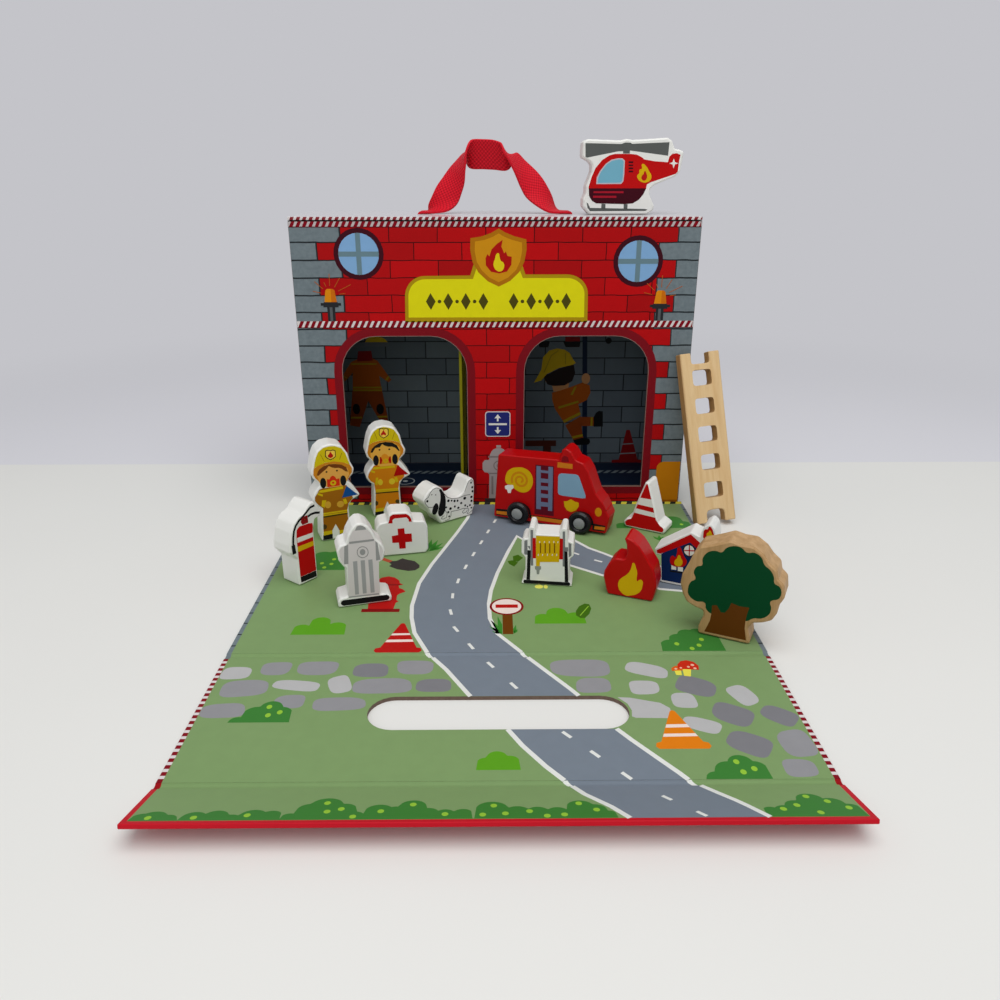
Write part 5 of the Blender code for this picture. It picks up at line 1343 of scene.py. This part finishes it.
paint("flag_red", [(-5.2, 43), (-4.3, 42.9), (-3.6, 40.5), (-4.3, 38.1), (-5.5, 38)], [(2.3, 42.7), (1.3, 42.7),
      (0.5, 40.5), (1.1, 38.2), (2.3, 38)], layer=4)
paint("band_yellow", disc(-1.4, 39.9, 1.6, 1.6), layer=4)
paint("mask_orange", disc(-1.4, 40, 0.7, 0.7), layer=5)
paint("boot_black", disc(-7.9, 40.8, 1.9, 3.7), disc(5, 40.5, 1.9, 3.7), layer=4)
print_block("firefighter_right_print", on_mat(-0.28, 0.07, 15), "firefighter_right")

# %% The extinguisher
paint("paint_red", [(-7.3, 30.1), (-6.7, 34.6), (-4.6, 36.1), (2.2, 35.8), (4.7, 35.1), (5, 33.6), (4.4, 29.3),
      (4.4, 5.1), (-7.2, 5.2)], layer=1)
paint("boot_black", [(-7.2, 5.1), (4.4, 4.9), (4.4, 1.1), (-7, 1.6)], layer=1)
paint("paint_white", [(-6.9, 29.8), (4.4, 29.3), (4.4, 26.6), (-7, 26.8)], layer=2)
paint("paint_yellow", [(-7.3, 24.4), (4.4, 24), (4.4, 21.2), (-7.2, 21.2)], layer=2)
paint("boot_black", *band([(7.4, 45.2), (4.2, 44.9), (1.6, 43.2), (-1.5, 41.2), (-4.5, 39.6), (-7, 37.4), (-8.6, 34.6),
      (-9.5, 31), (-10, 26.5)], 1.3), layer=2)
paint("boot_black", [(-11.3, 26.5), (-8.9, 26.5), (-8.5, 20.9), (-11, 20.9)], layer=2)
paint("paint_red_dark", [(-2.8, 40), (-0.9, 41), (1.7, 41), (1.9, 36.4), (-2.3, 36.3), (-3.3, 38.2)], layer=3)
paint("line_dark", disc(-0.3, 39.2, 1.1, 1.1), layer=4)
paint("paint_red", disc(-0.4, 39.1, 0.6, 0.6), layer=5)
paint("boot_black", *band([(1.9, 40), (4.4, 40.7), (7.4, 40.6), (10.8, 39.6)], 1.3), layer=2)
print_block("extinguisher_print", on_mat(-0.425, 0.577, 52), "extinguisher")

# %% The hydrant
paint("hydrant_grey", [(-8.2, 23.8), (-8.1, 37), (-6.7, 38.3), (-5.9, 41.7), (-4.4, 44.6), (-2.6, 46.1),
      (-1.9, 47.5), (-1.2, 47.8), (-0.1, 47.8), (1.2, 47.4), (2.6, 46.3), (3.1, 45.5), (5, 43.1), (6.5, 39.6),
      (7.2, 37.9), (8.4, 36.6), (8.8, 26.1), (7.8, 5), (-9, 5.4)], layer=1)
paint("hydrant_grey", [(-9.3, 36.6), (-10.8, 36.1), (-12, 34.2), (-12, 31), (-11.1, 27.8), (-9.9, 25.9)],
      [(9.4, 35.5), (10.5, 34), (11.4, 31.2), (10.9, 28.7), (10.2, 26.6), (9.4, 26)], layer=1)
paint("hydrant_dark", [(-9.2, 36.6), (-7.1, 37.3), (-7.7, 26), (-10, 26)], [(7.5, 37.6), (8.6, 36.4), (9.6, 26.2),
      (7.2, 26)], [(-6.5, 38.9), (6.8, 39), (6.8, 37.8), (-6.4, 37.6)], layer=2)
paint("hydrant_line", [(3.1, 31.6), (2.9, 30.7), (2.5, 29.9), (1.8, 29.3), (1, 28.9), (0.2, 28.9), (-0.7, 29.2),
      (-1.4, 29.7), (-2, 30.4), (-2.3, 31.3), (-2.4, 32.3), (-2.2, 33.2), (-1.8, 34), (-1.1, 34.6), (-0.3, 34.9),
      (0.5, 35), (1.4, 34.7), (2.1, 34.2), (2.7, 33.4), (3, 32.5), (3.1, 31.5), (3.5, 31.6), (3.4, 32.6), (3, 33.7),
      (2.4, 34.5), (1.5, 35.1), (0.6, 35.4), (-0.4, 35.4), (-1.3, 35), (-2.1, 34.3), (-2.6, 33.4), (-2.8, 32.4),
      (-2.7, 31.3), (-2.4, 30.2), (-1.7, 29.3), (-0.8, 28.7), (0.1, 28.4), (1.1, 28.5), (2, 28.9), (2.8, 29.5),
      (3.3, 30.5), (3.5, 31.5)], layer=3)
paint("hydrant_dark", disc(0.3, 32, 1.5, 1.8), layer=3)
paint("hydrant_stripe", [(-5.2, 27.1), (-2.9, 27.1), (-3.2, 6.9), (-5.3, 6.9)], [(-1.1, 27.2), (1.2, 27.1), (1, 6.9),
      (-1.1, 6.9)], [(3, 27), (5.3, 27), (5.4, 6.8), (3.2, 6.8)], layer=2)
paint("hydrant_stripe", [(-8.8, 5.4), (7.8, 5.1), (7.8, 6), (-8.8, 6.3)], layer=2)
paint("hydrant_dark", [(-2.9, 45), (-2.4, 46.2), (-1.8, 47.3), (-0.1, 47.7), (1.2, 47.3), (2.6, 46.1), (3.1, 45)], layer=2)
paint("boot_black", [(-12, 1), (12, 0.9), (13, 1.5), (13.4, 2.6), (13, 3.7), (12, 4.3), (-12, 4.4), (-13, 3.8), (-13.4, 2.7),
      (-13, 1.6)], layer=2)
print_block("hydrant_print", on_mat(-0.277, 0.708, 15.4), "hydrant")

# %% The first-aid kit
paint("paint_red", [(-8, 22), (-7.1, 24.5), (-6.6, 26.6), (-4.8, 27.7), (3.2, 27.4), (5.2, 26), (6.1, 24.2),
      (6.7, 21.9), (4.7, 22.1), (4.6, 23.7), (3.4, 25.1), (-4, 25), (-5.2, 24.1), (-5.3, 21.9)], layer=1)
paint("paint_red", [(-2.4, 18), (1.7, 18), (2, 14.2), (6.1, 14), (6.3, 8.4), (2.2, 8.4), (2.1, 4.2), (-1.8, 4.3),
      (-2.1, 8.5), (-6, 8.7), (-6.2, 13.4), (-2.3, 13.8)], layer=1)
print_block("first_aid_print", on_mat(-0.223, 0.392, 11.8), "first_aid_kit")

# %% The spotted dog
outlines = ([(-17, 14.4), (-19.3, 17.5), (-19.7, 19.6), (-19.3, 20.6), (-17, 21.5), (-15.4, 24.1), (-13.4, 26.2),
             (-10.6, 26.9), (-8.3, 26), (-5.3, 22.4), (-1.7, 18), (2, 16.1), (7.4, 15.4), (12.4, 16), (17, 15.7)],
            [(0.9, 6.9), (7.2, 6.5), (11, 6.8), (15.6, 5.3)],
            [(0.9, 6.8), (0.6, 3.8), (-0.6, 1.9), (-3.3, 1.3), (-4.3, 1.9)],
            [(12.4, 18.8), (14.1, 22.5), (15.8, 25.6), (17.9, 26.5), (19.3, 24.8)],
            [(15.6, 5.1), (15.2, 3.5), (14, 2.1), (15.9, 2), (18.3, 3.4)],
            [(-17.1, 14.4), (-14.4, 13.8), (-11.4, 13.8)],
            [(-4.1, 9.2), (-2.4, 6.5), (-2.9, 3.6), (-5.5, 2.9), (-7.2, 3.6), (-6.6, 4.7), (-4.7, 5.3)],
            [(12.5, 6.2), (10.2, 4.3), (10.9, 3.1), (13.2, 3.4), (14.4, 4.7)])
for n, line in enumerate(outlines):
    paint("line_grey", *band(line, 0.4), layer=1 + n % 2)
paint("boot_black", [(-7.9, 25.2), (-5.5, 23.3), (-3.5, 18.4), (-3.4, 13.3), (-4.5, 8), (-7.9, 5.6), (-9.4, 7.2),
      (-8.8, 12.7), (-7.5, 17.4), (-7.4, 22.1)], [(-11, 16), (-9.3, 13.7), (-9.9, 10.4), (-12.2, 8),
      (-14, 9.1), (-13.7, 12.9), (-12.4, 15.1)], layer=3, rounded=True)
paint("boot_black", *[disc(*spot, 10) for spot in ((-17.8, 19, 0.8, 0.9), (-14.2, 22.8, 0.4, 0.4),
      (-11.1, 22, 0.4, 0.4), (-1.1, 15.3, 1, 1), (1.5, 14.8, 0.7, 0.7), (3.9, 14, 0.9, 0.9), (6.3, 13.6, 0.8, 0.8),
      (12.3, 14, 1.2, 1.1), (9.3, 11.1, 0.9, 0.8), (17.9, 10.7, 0.9, 0.9), (17.9, 13.6, 1, 0.9), (-3, 11, 0.7, 0.7),
      (4, 9.9, 0.8, 0.8), (0.4, 9.2, 1.1, 1), (6.9, 8.2, 1, 0.8), (12.6, 8.6, 0.8, 0.8), (16.6, 7.8, 0.8, 0.7),
      (14.5, 7.2, 0.6, 0.6), (-1.4, 7, 0.8, 0.8), (-0.8, 3.8, 0.7, 0.7), (17.7, 5.6, 0.7, 0.6),
      (18.9, 17.6, 0.8, 0.9), (18.7, 20.6, 0.8, 0.9), (17.8, 24.2, 0.7, 0.8))], layer=3)
print_block("dog_print", on_mat(-0.133, 0.135, 36.5), "dog")

# %% The hose reel
paint("frame_grey", [(-10, 34.4), (-8.5, 34.4), (-8.1, 12), (-9.5, 11.9)], [(8.2, 34.4), (9.6, 34.5),
      (10.2, 12.5), (8.8, 12.5)], [(-13.4, 27.2), (-13, 27.6), (-11.6, 27.9), (-11.6, 18.7), (-12.8, 18.6),
      (-13.4, 19.3)], [(11.7, 27.7), (12.1, 27.5), (13.3, 27), (13.6, 19.8), (12.9, 19.1), (12.1, 18.8)],
      [(-11.6, 24.1), (-10.05, 24.3), (-10, 21.8), (-11.5, 21.6)], [(9.75, 24.7), (11.6, 24.8), (11.7, 22.3),
      (9.85, 22.3)], layer=1)
paint("boot_black", [(-11.5, 21.6), (-9.6, 21.6), (-9.8, 2.7), (-11.9, 2.7)], [(9.5, 22.2), (11.3, 22.2),
      (12.4, 2.6), (10.3, 2.6)], [(-13, 2.6), (12.9, 2.5), (13.5, 2), (13.5, 0.9), (12.9, 0.4), (-13, 0.4),
      (-13.6, 0.9), (-13.6, 2.1)], layer=2)
paint("paint_red", [(-8.8, 29.5), (-6.9, 29.5), (-6.5, 16.8), (-8.5, 16.6)], [(6.3, 30), (8.5, 30), (8.8, 17),
      (6.7, 16.9)], layer=2)
paint("hose_yellow", [(-6.8, 30.9), (6.7, 31.1), (6.7, 15.2), (-6.5, 14.4)], [(-6.5, 14.4), (-4.2, 14.5),
      (-4.3, 11.8), (-6.5, 11.8)], layer=3)
paint("hose_shade", [(-4.5, 26.4), (-4.4, 20.2), (-3.7, 20.2), (-3.8, 26.4)], [(-1.8, 26.5), (-1.7, 20.4),
      (-1, 20.4), (-1.1, 26.6)], [(0.8, 26.7), (0.9, 20.5), (1.6, 20.6), (1.5, 26.7)], [(3.5, 26.9), (3.6, 20.7),
      (4.3, 20.7), (4.2, 26.9)], layer=4)
paint("paint_white", [(-4.8, 27.7), (-5, 26.6), (-4.6, 26.5), (-4.4, 27.6)], [(-2.1, 27.8), (-2.3, 26.8),
      (-1.9, 26.7), (-1.7, 27.8)], [(0.7, 28), (0.5, 26.9), (0.9, 26.8), (1.1, 27.9)], [(3.3, 28.2), (3.1, 27.1),
      (3.5, 27), (3.7, 28.1)], [(5.6, 28.3), (5.4, 27.2), (5.8, 27.1), (6, 28.2)], [(-5.4, 19.6), (-5.6, 18.4),
      (-5.2, 18.4), (-5, 19.5)], [(-2.9, 19.8), (-3.2, 18.6), (-2.8, 18.5), (-2.5, 19.7)], [(-0.2, 20), (-0.4, 18.8),
      (0, 18.7), (0.2, 19.9)], [(2.6, 20.1), (2.4, 19), (2.8, 18.9), (3, 20.1)], [(5.1, 20.3), (4.9, 19.1),
      (5.3, 19), (5.5, 20.2)], layer=4)
paint("nozzle_grey", [(-7.1, 11.7), (-3.6, 11.9), (-3.5, 10), (-4.3, 9.5), (-4.6, 6.7), (-5.9, 6.6), (-6.2, 9.3),
      (-7, 9.8)], layer=4)
print_block("hose_reel_print", on_mat(0.111, 0.597, -8), "hose_reel")

# %% The traffic cone
paint("paint_red", [(-0.1, 33.2), (0.1, 33.2), (0.7, 32.1), (3.6, 22.9), (-4, 22.8), (-0.9, 32.2)], layer=1)
paint("paint_red", [(-5.7, 17.8), (5.2, 17.4), (6.2, 14), (-6.5, 14.7)], layer=1)
paint("paint_red", [(-7.5, 11.4), (7.2, 10.7), (7.7, 9.2), (10.5, 5.8), (12.9, 4.4), (13.4, 3.1), (12.7, 1.3),
      (-12.4, 1.2), (-13.4, 2.4), (-13.4, 3.8), (-12, 5.4), (-9.4, 6.6)], layer=1)
print_block("traffic_cone_print", on_mat(0.379, 0.217, -30), "traffic_cone")

# %% The flame
paint("paint_yellow", [(1.3, 22), (3.2, 19), (4, 16), (3.9, 12.8), (4.4, 11.2), (5.3, 12.1), (6.8, 12.3), (7.4, 8.7),
      (6.6, 5.5), (4.2, 2.9), (1.4, 1.7), (-1.5, 1.1), (-4.2, 2.5), (-6, 5.2), (-6, 9.3), (-4.7, 11.4), (-2, 13.9),
      (-0.1, 16.8), (0.8, 20.2)], layer=1, rounded=True)
print_block("flame_print", on_mat(0.284, 0.677, -22), "flame")

# %% The burning house
paint("wall_navy", [(-13.8, 18), (1.9, 29.7), (14.4, 19), (14.4, 1.4), (-12.3, 1.5)], layer=1)
paint("paint_red", [(-16.7, 19.7), (-16.2, 18.1), (-14.1, 18), (2, 28.2), (14.4, 18.9), (16.1, 22.3), (2, 33.2)],
      layer=2)
paint("line_dark", disc(1.9, 23.1, 3.5, 3.8), layer=3)
paint("paint_white", disc(1.9, 23.1, 2.9, 3.2), layer=4)
paint("paint_red", [(1.5, 26.3), (1.9, 19.9), (2.5, 20), (2.1, 26.4)], [(-0.9, 22.4), (4.8, 23.2), (4.7, 23.9),
      (-0.9, 23)], layer=5)
paint("paint_red", [(-3.9, 24.2), (-2, 21.7), (-0.5, 18.7), (1.1, 16.1), (0, 13), (-3.2, 11.6), (-6.9, 12),
      (-8.5, 15.4), (-7.1, 18.2), (-5.7, 17.4), (-4.9, 20.1)], layer=3, rounded=True)
paint("paint_yellow", [(-3.5, 19.2), (-2.2, 17.3), (-1.2, 15.3), (-2, 12.8), (-3.6, 12.1), (-5.5, 12.8), (-5.8, 15),
      (-4.6, 16.8)], layer=4, rounded=True)
paint("paint_white", [(-7.4, 11.9), (-4.6, 12), (-4.4, 9.5), (-7.2, 9.4)], [(-3.7, 11.8), (-0.7, 11.9), (-0.5, 9.2),
      (-3.5, 9.2)], layer=3)
paint("boot_black", [(-8, 8.6), (0.3, 9), (0.4, 8.1), (-7.9, 7.7)], layer=3)
paint("paint_red", [(7.9, 17.5), (9.4, 15.2), (11.5, 13.5), (12.9, 11.2), (12.3, 8.2), (9.5, 7), (6.5, 7), (5.1, 10),
      (6.3, 13.2), (7.3, 14.4)], layer=3, rounded=True)
paint("paint_yellow", [(8.7, 13.3), (10.2, 11.8), (11.5, 9.8), (10.9, 7.4), (9.3, 6.8), (7.8, 7.7), (7.6, 9.8),
      (8.2, 11.5)], layer=4, rounded=True)
paint("boot_black", [(6.1, 6.5), (12.2, 6.5), (12.7, 1.3), (6.6, 1.1)], layer=3)
paint("paint_white", [(7, 6.5), (7.9, 6.5), (8.2, 3.3), (7.3, 3.3)], layer=4)
paint("wall_navy", [(9, 31.4), (14.8, 31.9), (15.1, 23.6), (12.4, 21.6), (9.6, 24.6)], layer=1)
paint("paint_red", [(11.8, 39.7), (13.3, 38.5), (14.2, 36.3), (14.9, 33.4), (12.4, 31.8), (9.3, 32), (8.8, 34.7),
      (9.5, 37.6), (10.8, 37.9)], layer=2, rounded=True)
paint("paint_yellow", [(12.1, 37.4), (13.2, 36.2), (13.8, 34.5), (12.5, 33.3), (11, 33.6), (10.7, 35.4),
      (11.5, 36.2)], layer=3, rounded=True)
print_block("burning_house_print", on_mat(0.409, 0.611, -25), "burning_house")

# %% The tree
paint("crown_green", [(-8.5, 13.1), (-11.3, 15.3), (-12.2, 18.4), (-16.7, 18.4), (-20.6, 21), (-21.3, 24.5),
      (-20.1, 28.8), (-18.1, 30.7), (-19.2, 34.4), (-17.8, 37.8), (-15.5, 39), (-15.5, 42.7), (-13.2, 46.7),
      (-9.6, 48.2), (-6.7, 48), (-4.5, 50.8), (-1.4, 52.4), (2.3, 52.4), (5.5, 50.3), (8.7, 50.9), (12.2, 49.2),
      (14.3, 45.4), (17.3, 43.2), (19.3, 39.9), (19.9, 36.8), (22.6, 35.2), (23.7, 32), (22.7, 28.8), (19.3, 26.6),
      (20, 22.8), (19.2, 19.1), (15.8, 16.2), (12.5, 15.5), (9, 13.1), (4, 13.8), (-3, 13.8)], layer=1, rounded=True)
paint("trunk_brown", [(-11, 2), (-9.9, 5.1), (-8.7, 9.1), (-8.3, 13.3), (-8.4, 17.9), (-6.1, 18.5), (-3.8, 15),
      (-1.9, 15.1), (-0.2, 17.8), (0.9, 21.5), (4.8, 20.5), (9.7, 20.9), (9, 16.7), (8.7, 13), (8.7, 9),
      (10.1, 2.2)], layer=2)
print_block("tree_print", on_mat(0.444, 0.902, -26), "tree")

# %% The fire engine
paint("panel_maroon", [(-10.8, 43.1), (2, 43.6), (2.8, 8.3), (-11, 7.8)], layer=1)
paint("ladder_grey", [(-10.1, 42.3), (-7.1, 42.4), (-6.4, 11.9), (-9.7, 11.7)], [(-1.8, 42.8), (1.4, 42.9),
      (1.6, 11.8), (-1.3, 11.6)], [(-7, 39.8), (-1.7, 39.9), (-1.7, 38.2), (-6.9, 38)], [(-6.8, 34), (-1.7, 34.1),
      (-1.7, 31.4), (-6.8, 31.2)], [(-6.7, 28.7), (-1.6, 28.9), (-1.6, 26.3), (-6.7, 26)], [(-6.6, 23.3),
      (-1.5, 23.4), (-1.6, 20.7), (-6.6, 20.4)], [(-6.5, 17.3), (-1.5, 17.5), (-1.4, 14.4), (-6.5, 14.1)], layer=2)
paint("hose_yellow", [(-31.9, 32.5), (-29.2, 37), (-23.6, 39.4), (-17.7, 39.2), (-14.1, 36.6), (-12.5, 32.2),
      (-13.4, 26.7), (-16.3, 23.2), (-19.8, 22), (-24.6, 23.3), (-27.5, 26), (-31.5, 27.1)], layer=1, rounded=True)
coil = [(math.radians(205 - 20 * n), 6.4 - 0.165 * n) for n in range(33)]
paint("hose_orange", *band([(-21.4 + reach * math.cos(turn), 30.5 + reach * math.sin(turn)) for turn, reach in coil],
      1.5), layer=2)
paint("paint_white", [(-32.6, 24.8), (-30.4, 26), (-26.6, 26.3), (-26.1, 24.3), (-27.8, 22.9), (-28.2, 20.4),
      (-30.2, 20.1), (-30.9, 22.3), (-32.3, 22.9)], layer=3)
paint("window_paint", [(5.1, 36.9), (5.6, 38.5), (7.2, 39.4), (16.8, 40.1), (18.6, 39.7), (19.6, 38.2), (24.3, 26.2),
      (24.1, 24.6), (22.4, 24.1), (8.2, 24), (6, 24.4), (5.2, 25.7)], layer=1)
paint("lamp_red", [(7.1, 47.4), (7.3, 50.1), (8.5, 51.6), (10.2, 51.8), (11.6, 50.7), (12.1, 47.9)], layer=2)
paint("lamp_base", [(4.5, 46.8), (14.7, 46.8), (14.7, 43.5), (4.3, 43.2)], layer=2)
paint("paint_yellow", [(9.5, 20.1), (11.7, 20.5), (14.3, 22.3), (16.9, 21.1), (19.8, 20.6), (19.8, 18), (18.2, 15.1),
      (14.7, 13.2), (11.9, 14.1), (10.1, 16.5)], layer=1)
paint("lamp_orange", disc(33.3, 16.1, 2.3, 3.1), layer=1)
paint("boot_black", [(-39, 7.3), (-28.5, 8), (-29, 2.9), (-38.9, 2.6)], [(-14.3, 6.6), (13.9, 7.2), (16.1, 11.5),
      (13.9, 8.7), (13.7, 4.6), (-14.8, 4.3)], [(29.9, 7.6), (38.6, 7.2), (37.9, 3), (29.8, 2.7)], layer=1)
paint("lamp_base", [(-38.8, 5.7), (-30.5, 6.2), (-30.6, 3.6), (-38.8, 3.4)], [(-13.1, 6.1), (9.9, 6.5), (9.7, 3.8),
      (-13, 3.5)], [(31.2, 6), (38.5, 6.2), (38.1, 3.9), (31, 3.7)], layer=2)
paint("boot_black", [(-28.8, 4.3), (-28.6, 6.2), (-28, 7.8), (-26.9, 9.3), (-25.6, 10.6), (-24.1, 11.4),
      (-22.4, 11.9), (-20.8, 11.9), (-19.3, 11.5), (-17.9, 10.7), (-16.9, 9.5), (-16.2, 8.1), (-16, 6.3), (-13.4, 7),
      (-13.7, 9.2), (-14.6, 11.2), (-16.1, 12.9), (-18, 14), (-20.1, 14.6), (-22.5, 14.6), (-24.8, 13.9),
      (-27, 12.7), (-28.8, 10.9), (-30.3, 8.8), (-31.2, 6.4), (-31.5, 4.3)], [(15.3, 5), (15.6, 6.9), (16.3, 8.5),
      (17.4, 10), (18.8, 11.2), (20.4, 11.9), (22, 12.3), (23.6, 12.1), (25.1, 11.6), (26.4, 10.6), (27.3, 9.3),
      (27.9, 7.7), (28.1, 5.9), (30.5, 6.3), (30.3, 8.6), (29.5, 10.7), (28.2, 12.6), (26.5, 13.9), (24.4, 14.7),
      (22.1, 14.9), (19.8, 14.4), (17.7, 13.4), (15.7, 11.7), (14.2, 9.7), (13.2, 7.4), (12.8, 5.2)], layer=1)
print_block("fire_engine_print", on_mat(0.144, 0.183, -23), "fire_engine")

# %% The helicopter
paint("rotor_grey", [(-31.6, 43.5), (-8.3, 43), (-5.5, 43.9), (-2.4, 43.8), (-1.2, 43.1), (23.1, 44.1), (22.8, 36),
      (-2.4, 39.1), (-2.4, 37.3), (-6.8, 37.3), (-6.9, 38.7), (-10, 38.6), (-30.2, 34.8), (-31.2, 35.3)], layer=1)
paint("paint_red", [(-28.2, 15.1), (-28.5, 16.9), (-26.7, 23.1), (-24.4, 28.5), (-20.3, 33.4), (-15.6, 36.2),
      (-11.8, 37.1), (-2.3, 37.1), (2.1, 36.7), (5.5, 35.2), (7.3, 33.8), (14.4, 32.7), (22.9, 32.1), (23.8, 35.6),
      (25.6, 37.2), (28.5, 37.5), (31, 36.5), (30.3, 33), (29.9, 26.3), (28.5, 25), (12.4, 19.9), (10, 18.5),
      (9.7, 16), (8.8, 14.6), (-28.1, 14.7)], layer=2)
paint("belly_maroon", [(-28.3, 16.2), (9.7, 16.2), (8, 12.4), (5.3, 9.2), (1.5, 6.9), (-3.4, 6.4), (-23, 6.9),
      (-25.9, 8.5), (-28, 11.5)], layer=3)
paint("belly_stripe", [(-25.1, 14.4), (-5.2, 14.4), (-5.2, 13.2), (-25.1, 13.3)], [(-25.3, 11.7), (-9.8, 11.6),
      (-9.8, 10.3), (-25.2, 10.4)], layer=4)
paint("window_edge", [(-23.5, 18.8), (-23.4, 22.7), (-21.4, 26.7), (-17.8, 31.2), (-14.1, 33.6), (-9.8, 34.5),
      (-6.9, 34.4), (-5.4, 33), (-5.3, 25), (-5.7, 20.5), (-7, 18.9)], layer=3)
paint("window_sky", [(-22.6, 19.5), (-22.4, 22.5), (-20.7, 26.3), (-17.3, 30.6), (-13.8, 32.9), (-9.7, 33.7),
      (-7.2, 33.7), (-6.2, 32.5), (-6.1, 25), (-6.5, 20.9), (-7.5, 19.7)], layer=4)
paint("belly_maroon", [(-2.9, 32.6), (0.2, 32.6), (0.1, 31.6), (-2.9, 31.6)], [(-2.7, 30.7), (0.3, 30.7),
      (0.2, 29.8), (-2.8, 29.8)], [(-2.6, 28.9), (0.4, 28.9), (0.3, 27.9), (-2.7, 27.9)], [(-2.5, 27), (0.5, 27),
      (0.4, 26), (-2.6, 26)], layer=3)
paint("hose_yellow", [(6.1, 31), (9.1, 29.4), (10.9, 26.7), (12.6, 24.1), (12.3, 21.4), (9.9, 19.9), (7, 19.9),
      (4, 21.8), (3.3, 24.1), (4.5, 25.4), (4.6, 27.6), (6, 28.1)], layer=3, rounded=True)
paint("flame_red", [(8.1, 26.7), (9.4, 25), (9.8, 22.7), (8.2, 20.9), (6.4, 21.8), (6.2, 23.6), (7.4, 25)],
      layer=4, rounded=True)
paint("paint_white", [(26.7, 34.3), (27.6, 32.2), (29.8, 31.4), (27.7, 30.8), (27, 28.4), (26.1, 30.8), (23.9, 31.4),
      (26, 32.1)], layer=3)
paint("rotor_grey", [(-19.4, 6.7), (-16.8, 6.5), (-16.7, 3.5), (-19.6, 3.6)], [(-4.6, 6.4), (-2, 6.3), (-2, 3.2),
      (-4.6, 3.3)], [(-29.4, 7.6), (-28.3, 6.7), (-27, 4.1), (9.6, 3.4), (11.6, 3), (9.9, 2.1), (-26.9, 2),
      (-28.7, 4.2)], layer=1)
print_block("helicopter_print", (Vector((0.338 * 0.265, -0.135 * 0.088, 0.1983)), math.radians(2)), "helicopter")
